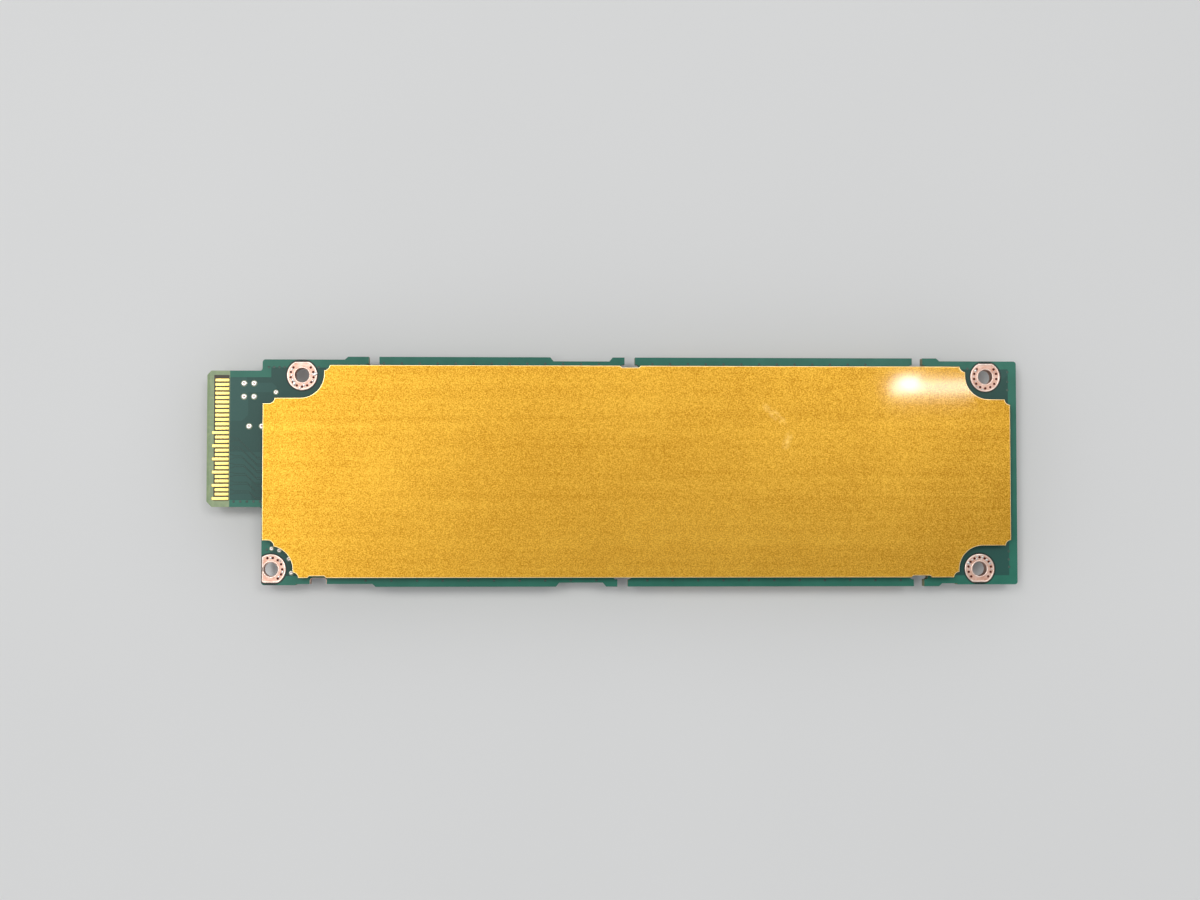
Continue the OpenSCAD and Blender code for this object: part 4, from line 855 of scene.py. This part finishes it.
def beads(nodes, board_face, way):
    """The beads under several packages, as one mesh."""
    def build(bm):
        for node in nodes:
            bead(bm, node, board_face, way)
    return part_mesh("beads", build)


for side, others, face, way in (
        ("upper", ["controller_substrate"], MASK_TOP, 1),
        ("lower", ["working_memory_1", "working_memory_2"], MASK_UNDER, -1)):
    nodes = ["flash_%s_%d" % (side, n) for n in range(1, 5)] + others
    finish("underfill_beads_" + side, beads(nodes, face, way), fillet_epoxy, "underfill",
           "underfill_" + side)


# Hold-up capacitors. Eight polymer capacitors keep the drive alive while it saves its data.
# Amber epoxy is moulded round each one, and the bar on one end marks its positive terminal.

# Amber epoxy, filled with 0.25 mm specks
amber = mottled("amber_moulded_epoxy", "#c98a2c", "#bd7c22", "#dba146", 0.25, 3.0, fine=0.65,
                relief=(0.3, 0.015), Roughness=0.4)
# Polarity bar: brown ink in 0.2 mm patches, fired into the epoxy by a laser
bar_ink = mottled("laser_darkened_bar", "#5b3410", "#4b2a0c", "#6e4217", 0.2, 3.0, Roughness=0.45)


def moulded_capacitor(bm, node):
    """Body with a parting line half way up, drafted sides, and the bar on its raised face."""
    mid, length, width, low, high = box_sizes(node)
    tall = high - low
    rows = [(high, -0.04, 0.0), (high - 0.06, 0.0, 0.0), (high - 0.48 * tall, 0.0, 0.0),
            (high - 0.5 * tall, 0.03, 0.03), (high - 0.52 * tall, 0.0, 0.0),
            (low + 0.3, -0.06, -0.02), (low + 0.08, -0.12, -0.36), (low + 0.015, -0.2, -0.5)]
    loft(bm, [loop(length - 0.06 + dl, width - 0.06 + dw, 0.12, z, mid)[::-1]
              for z, dl, dw in rows])
    bar_mid = (mid.x - length / 2 + 1.1, mid.y)
    loft(bm, tiers(0.8, width - 0.66, bar_mid, (0, 0.05, low + 0.05), (0, 0.05, low), way=-1), [1])


CAPACITORS = ["hold_up_capacitor_%d" % n for n in range(1, 9)]
for node in CAPACITORS:
    mesh = part_mesh(node, lambda bm: moulded_capacitor(bm, node), amber, bar_ink)
    finish("moulded_" + node, mesh, None, "capacitor_mould", node)


# Terminals. Tinned copper straps bent round the ends of the capacitors and the inductors,
# soldered to the card: each foot stands in a small concave fillet of solder.

# Matt tin over copper: brush marks of the strip, 0.08 mm apart, across the strap
tin_plate = mottled("matt_tin_plate", "#d2d2d0", "#bcbcbb", "#e6e6e3", 0.08,
                    drawn=(1, 0.1, 1), satin=(0.28, 0.5), Metallic=1.0, Roughness=0.36)


def prism(bm, outline, width):
    """A strip with this outline in x and z, spread over a width in y."""
    low, high = [[bm.verts.new(Vector((x, y, z)) * MM) for x, z in outline]
                 for y in (-width / 2, width / 2)]
    n = len(outline)
    for i in range(n):
        bm.faces.new((low[i], low[(i + 1) % n], high[(i + 1) % n], high[i]))
    bm.faces.new(low[::-1])
    bm.faces.new(high)
    bmesh.ops.recalc_face_normals(bm, faces=bm.faces)


def bent_strap(bm, end_x, width, thick, foot, rise):
    """A strap with rounded bends and the solder fillet against its outer face."""
    arc = [(end_x - thick + thick * math.sin(math.radians(a)),
            thick - thick * math.cos(math.radians(a))) for a in (0, 30, 60, 90)]
    prism(bm, [(end_x - foot, 0.0)] + arc + [(end_x, rise - 0.04), (end_x - 0.04, rise),
                                             (end_x - thick, rise), (end_x - thick, thick),
                                             (end_x - foot, thick)], width)
    reach = 0.34
    prism(bm, [(end_x - 0.1, -0.02), (end_x + reach, -0.02), (end_x + reach * 0.55, 0.06),
               (end_x + reach * 0.25, 0.2), (end_x + 0.01, 0.42), (end_x - 0.1, 0.42)],
          width * 0.96)


def strap_set(nodes, end_x, width, foot):
    """Straps at both ends of every body in these CAD nodes."""
    strap = part_mesh("strap", lambda bm: bent_strap(bm, end_x, width, 0.12, foot, 1.225))
    middles = [box_sizes(node)[0] for node in nodes]
    return set_out(strap, [((mid.x, mid.y, MASK_UNDER), (math.pi, 0, turn), (1, 1, 1))
                           for mid in middles for turn in (0.0, math.pi)], tin_plate)


finish("hold_up_straps", strap_set(CAPACITORS, 3.65, 2.4, 1.3), None, "tin",
       "hold_up_terminals", angle=25)


# Power inductors. A coil pressed inside iron powder: dark grey bodies with a fine sintered
# skin, rounded uprights and a narrow flash line half way up.
pressed_iron, tree, shader, place = start_material("pressed_iron_powder", "#4b4d50",
                                                   Roughness=0.62, Metallic=0.15)
# Powder grains of 0.1 mm
powder = add(tree, "TexVoronoi", {"Vector": place, "Scale": 1 / (0.1 * MM)})
tone = add(tree, "Mix", {0: powder, 6: "#37393b", 7: "#6a6c70"}, data_type="RGBA")
relief = add(tree, "Bump", {"Height": powder, "Strength": 0.5, "Distance": 0.02 * MM})
feed(tree, shader, {"Base Color": tone, "Normal": relief})
INDUCTORS = ["power_inductor_%d" % n for n in range(1, 5)]
for node in INDUCTORS:
    mid, length, width, low, high = box_sizes(node)
    rows = [(more, 0.35, z) for more, z in (
        (-0.1, high), (0.0, high - 0.08), (0.0, high - 1.1), (0.05, high - 1.15),
        (0.0, high - 1.2), (0.0, low + 0.14), (-0.1, low + 0.04), (-0.26, low))]
    pressed = part_mesh(node, lambda bm: loft(bm, tiers(
        length - 0.05, width - 0.05, mid, *rows, way=-1, steps=5)))
    finish("pressed_" + node, pressed, pressed_iron, "inductor_core", node)
finish("inductor_straps", strap_set(INDUCTORS, 2.1, 1.6, 1.05), None, "tin",
       "inductor_terminals", angle=25)


# Power and control chips. Small moulded packages with terminals along their sides: the power
# manager, two converters, a sensor, and the boot memory with its eight bent leads.
for node in ("power_manager", "inlet_switch", "boost_converter", "temperature_sensor"):
    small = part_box(node)[1].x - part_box(node)[0].x < 3 * MM
    dress_package(node, carrier_t=0.05, dimple=0.2 if small else 0.35)


def boot_memory(bm):
    """The block of the boot memory with its edges rounded by the mould."""
    load(bm, "boot_memory")
    bmesh.ops.bevel(bm, geom=list(bm.edges), offset=0.05 * MM, segments=2, profile=0.6,
                    affect="EDGES", clamp_overlap=True)


finish("moulded_boot_memory", part_mesh("boot_memory", boot_memory), mould, "mould_compound",
       "boot_memory")
paint(tin_plate, "package_leads")


# Crystal and status lights. The crystal is a ceramic tray under a welded metal lid. The lights
# are two small lenses that shine through the tray's front.

# Fired alumina: warm white, with 0.3 mm mottling from the kiln
fired_tray = mottled("fired_ceramic", "#d9d2c0", "#cbc3ae", "#e6dfcf", 0.3, 3.0, Roughness=0.5)
mid, length, width, low, high = box_sizes("crystal_base")
finish("ceramic_crystal_tray", part_mesh("tray", lambda bm: loft(bm, tiers(
    length, width, mid, (0, 0.2, high), (0, 0.2, low + 0.04), (-0.08, 0.18, low), way=-1))),
    fired_tray, "crystal_ceramic", "crystal_base")
mid, length, width, low, high = box_sizes("crystal_lid")
finish("welded_crystal_lid", part_mesh("lid", lambda bm: loft(bm, tiers(
    length, width, mid, (0, 0.3, high), (0, 0.3, high - 0.06), (-0.16, 0.26, high - 0.1),
    (-0.2, 0.26, low + 0.05), (-0.34, 0.2, low), way=-1))), tin_plate, "tin", "crystal_lid")

# Clear silicone over a yellow phosphor dot, cloudy in 0.4 mm patches
lens = mottled("phosphor_lens", "#e9e6b8", "#dfe2a8", "#f6f4dc", 0.4, 1.0, Roughness=0.2, IOR=1.42)

# A light: a base 1.6 mm long with a rounded lens between its two ends
light_body = part_mesh("light", lambda bm: loft(bm, [loop(*row) for row in (
    (0.8, 1.6, 0.05, 0), (0.8, 1.6, 0.05, 0.2), (0.76, 1.0, 0.1, 0.22), (0.74, 0.96, 0.1, 0.5),
    (0.6, 0.82, 0.16, 0.6))]))
light_x = BOARD_HIGH.x - 1.6
finish("status_lenses", set_out(light_body, [((light_x, s * 1.6, MASK_UNDER), DOWN, (1, 1, 1))
                                             for s in (-1, 1)], lens),
       None, "light_lens", "status_lights")


# Chip parts. Some two hundred ceramic capacitors and resistors. Each has a fired body and two
# tinned end caps, which stand in fillets of solder on the card.
def solids(node):
    """Lowest and highest corner of each separate solid of a CAD node, in millimetres."""
    bm = bmesh.new()
    bm.from_mesh(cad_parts[node].data)
    bmesh.ops.remove_doubles(bm, verts=bm.verts, dist=2e-6)
    seen, boxes = set(), []
    for start in bm.verts:
        if start in seen:
            continue
        group, fresh = set(), {start}
        while fresh:
            group |= fresh
            fresh = {edge.other_vert(vert) for vert in fresh for edge in vert.link_edges} - group
        seen |= group
        corners = [vert.co / MM for vert in group]
        boxes.append([Vector([pick(corner[i] for corner in corners) for i in range(3)])
                      for pick in (min, max)])
    bm.free()
    return boxes


def chip_places(node, face, way):
    """Where the chips of a node sit, how they turn, and their whole length, width and height."""
    places = []
    for low, high in solids(node):
        size = high - low
        across = size.y > size.x
        length, width = (size.y, size.x) if across else (size.x, size.y)
        mid = (low + high) / 2
        places.append(((mid.x, mid.y, face), (way[0], 0, math.pi / 2 if across else 0),
                       (length / 0.52, width + 0.06, size.z + 0.06)))
    return places


# Barium titanate ceramic: tan-grey, dense, with a faint gloss and 0.15 mm mottling
titanate = mottled("fired_titanate", "#9b7c58", "#866746", "#b2946d", 0.15, 3.0, Roughness=0.42)
# Resistor: white alumina with black glaze on the face away from the card
glaze, tree, shader, place = start_material("glazed_alumina", "#191a1d", Roughness=0.25)
facing = add(tree, "SeparateXYZ", {"Vector": add(tree, "NewGeometry").outputs["Normal"]})
outer = add(tree, "MapRange", {"Value": facing.outputs["Z"], "From Min": -0.6, "From Max": -0.8})
film = add(tree, "TexNoise", {"Vector": place, "Scale": 1 / (0.2 * MM), "Detail": 2.0})
black = add(tree, "Mix", {0: film, 6: "#121316", 7: "#26282c"}, data_type="RGBA")
tone = add(tree, "Mix", {0: outer, 7: black, 6: "#dcdad2"}, data_type="RGBA")
feed(tree, shader, {"Base Color": tone})

chip_body = part_mesh("chip_body", lambda bm: loft(bm, [
    loop(0.56, width, radius, z, steps=2) for width, radius, z in (
        (0.84, 0.04, 0.05), (0.9, 0.05, 0.12), (0.9, 0.05, 0.86), (0.82, 0.04, 0.93))]))


def end_cap(bm):
    """One tinned cap from x = 0.26 to 0.5 of a unit chip, and the fillet at its end."""
    mid = (0.38, 0)
    loft(bm, [loop(*row, mid, 2) for row in (
        (0.22, 0.94, 0.05, 0), (0.24, 1.0, 0.07, 0.07), (0.24, 1.0, 0.07, 0.92),
        (0.2, 0.92, 0.07, 1.0))])
    # The fillet: place along the chip, half width at its foot and at its top, and its height
    loft(bm, [[Vector((x, -foot, 0)), Vector((x, foot, 0)), Vector((x, top, high)),
               Vector((x, -top, high))] for x, foot, top, high in (
                   (0.42, 0.44, 0.44, 0.62), (0.505, 0.44, 0.42, 0.55), (0.56, 0.42, 0.4, 0.22),
                   (0.66, 0.38, 0.38, 0.01))])
    bmesh.ops.recalc_face_normals(bm, faces=bm.faces)


cap_part = part_mesh("end_cap", end_cap)


def cap_places(places):
    """Both ends of every chip in places."""
    return [(at, (turn[0], 0, turn[2] + half), size) for at, turn, size in places
            for half in (0.0, math.pi)]


upper = chip_places("ceramic_chips_upper", MASK_TOP, UP)
lower = chip_places("ceramic_chips_lower", MASK_UNDER, DOWN)
fixed = chip_places("chip_resistors", MASK_UNDER, DOWN)
for side, places in (("upper", upper), ("lower", lower)):
    finish("titanate_chips_" + side, set_out(chip_body, places, titanate), None, "chip_ceramic",
           "ceramic_chips_" + side)
finish("glazed_resistors", set_out(chip_body, fixed, glaze), None, "resistor_glaze",
       "chip_resistors")
for side, places in (("upper", upper), ("lower", lower + fixed)):
    finish("tinned_caps_" + side, set_out(cap_part, cap_places(places), solder), None, "tin",
           "chip_end_caps_" + side)
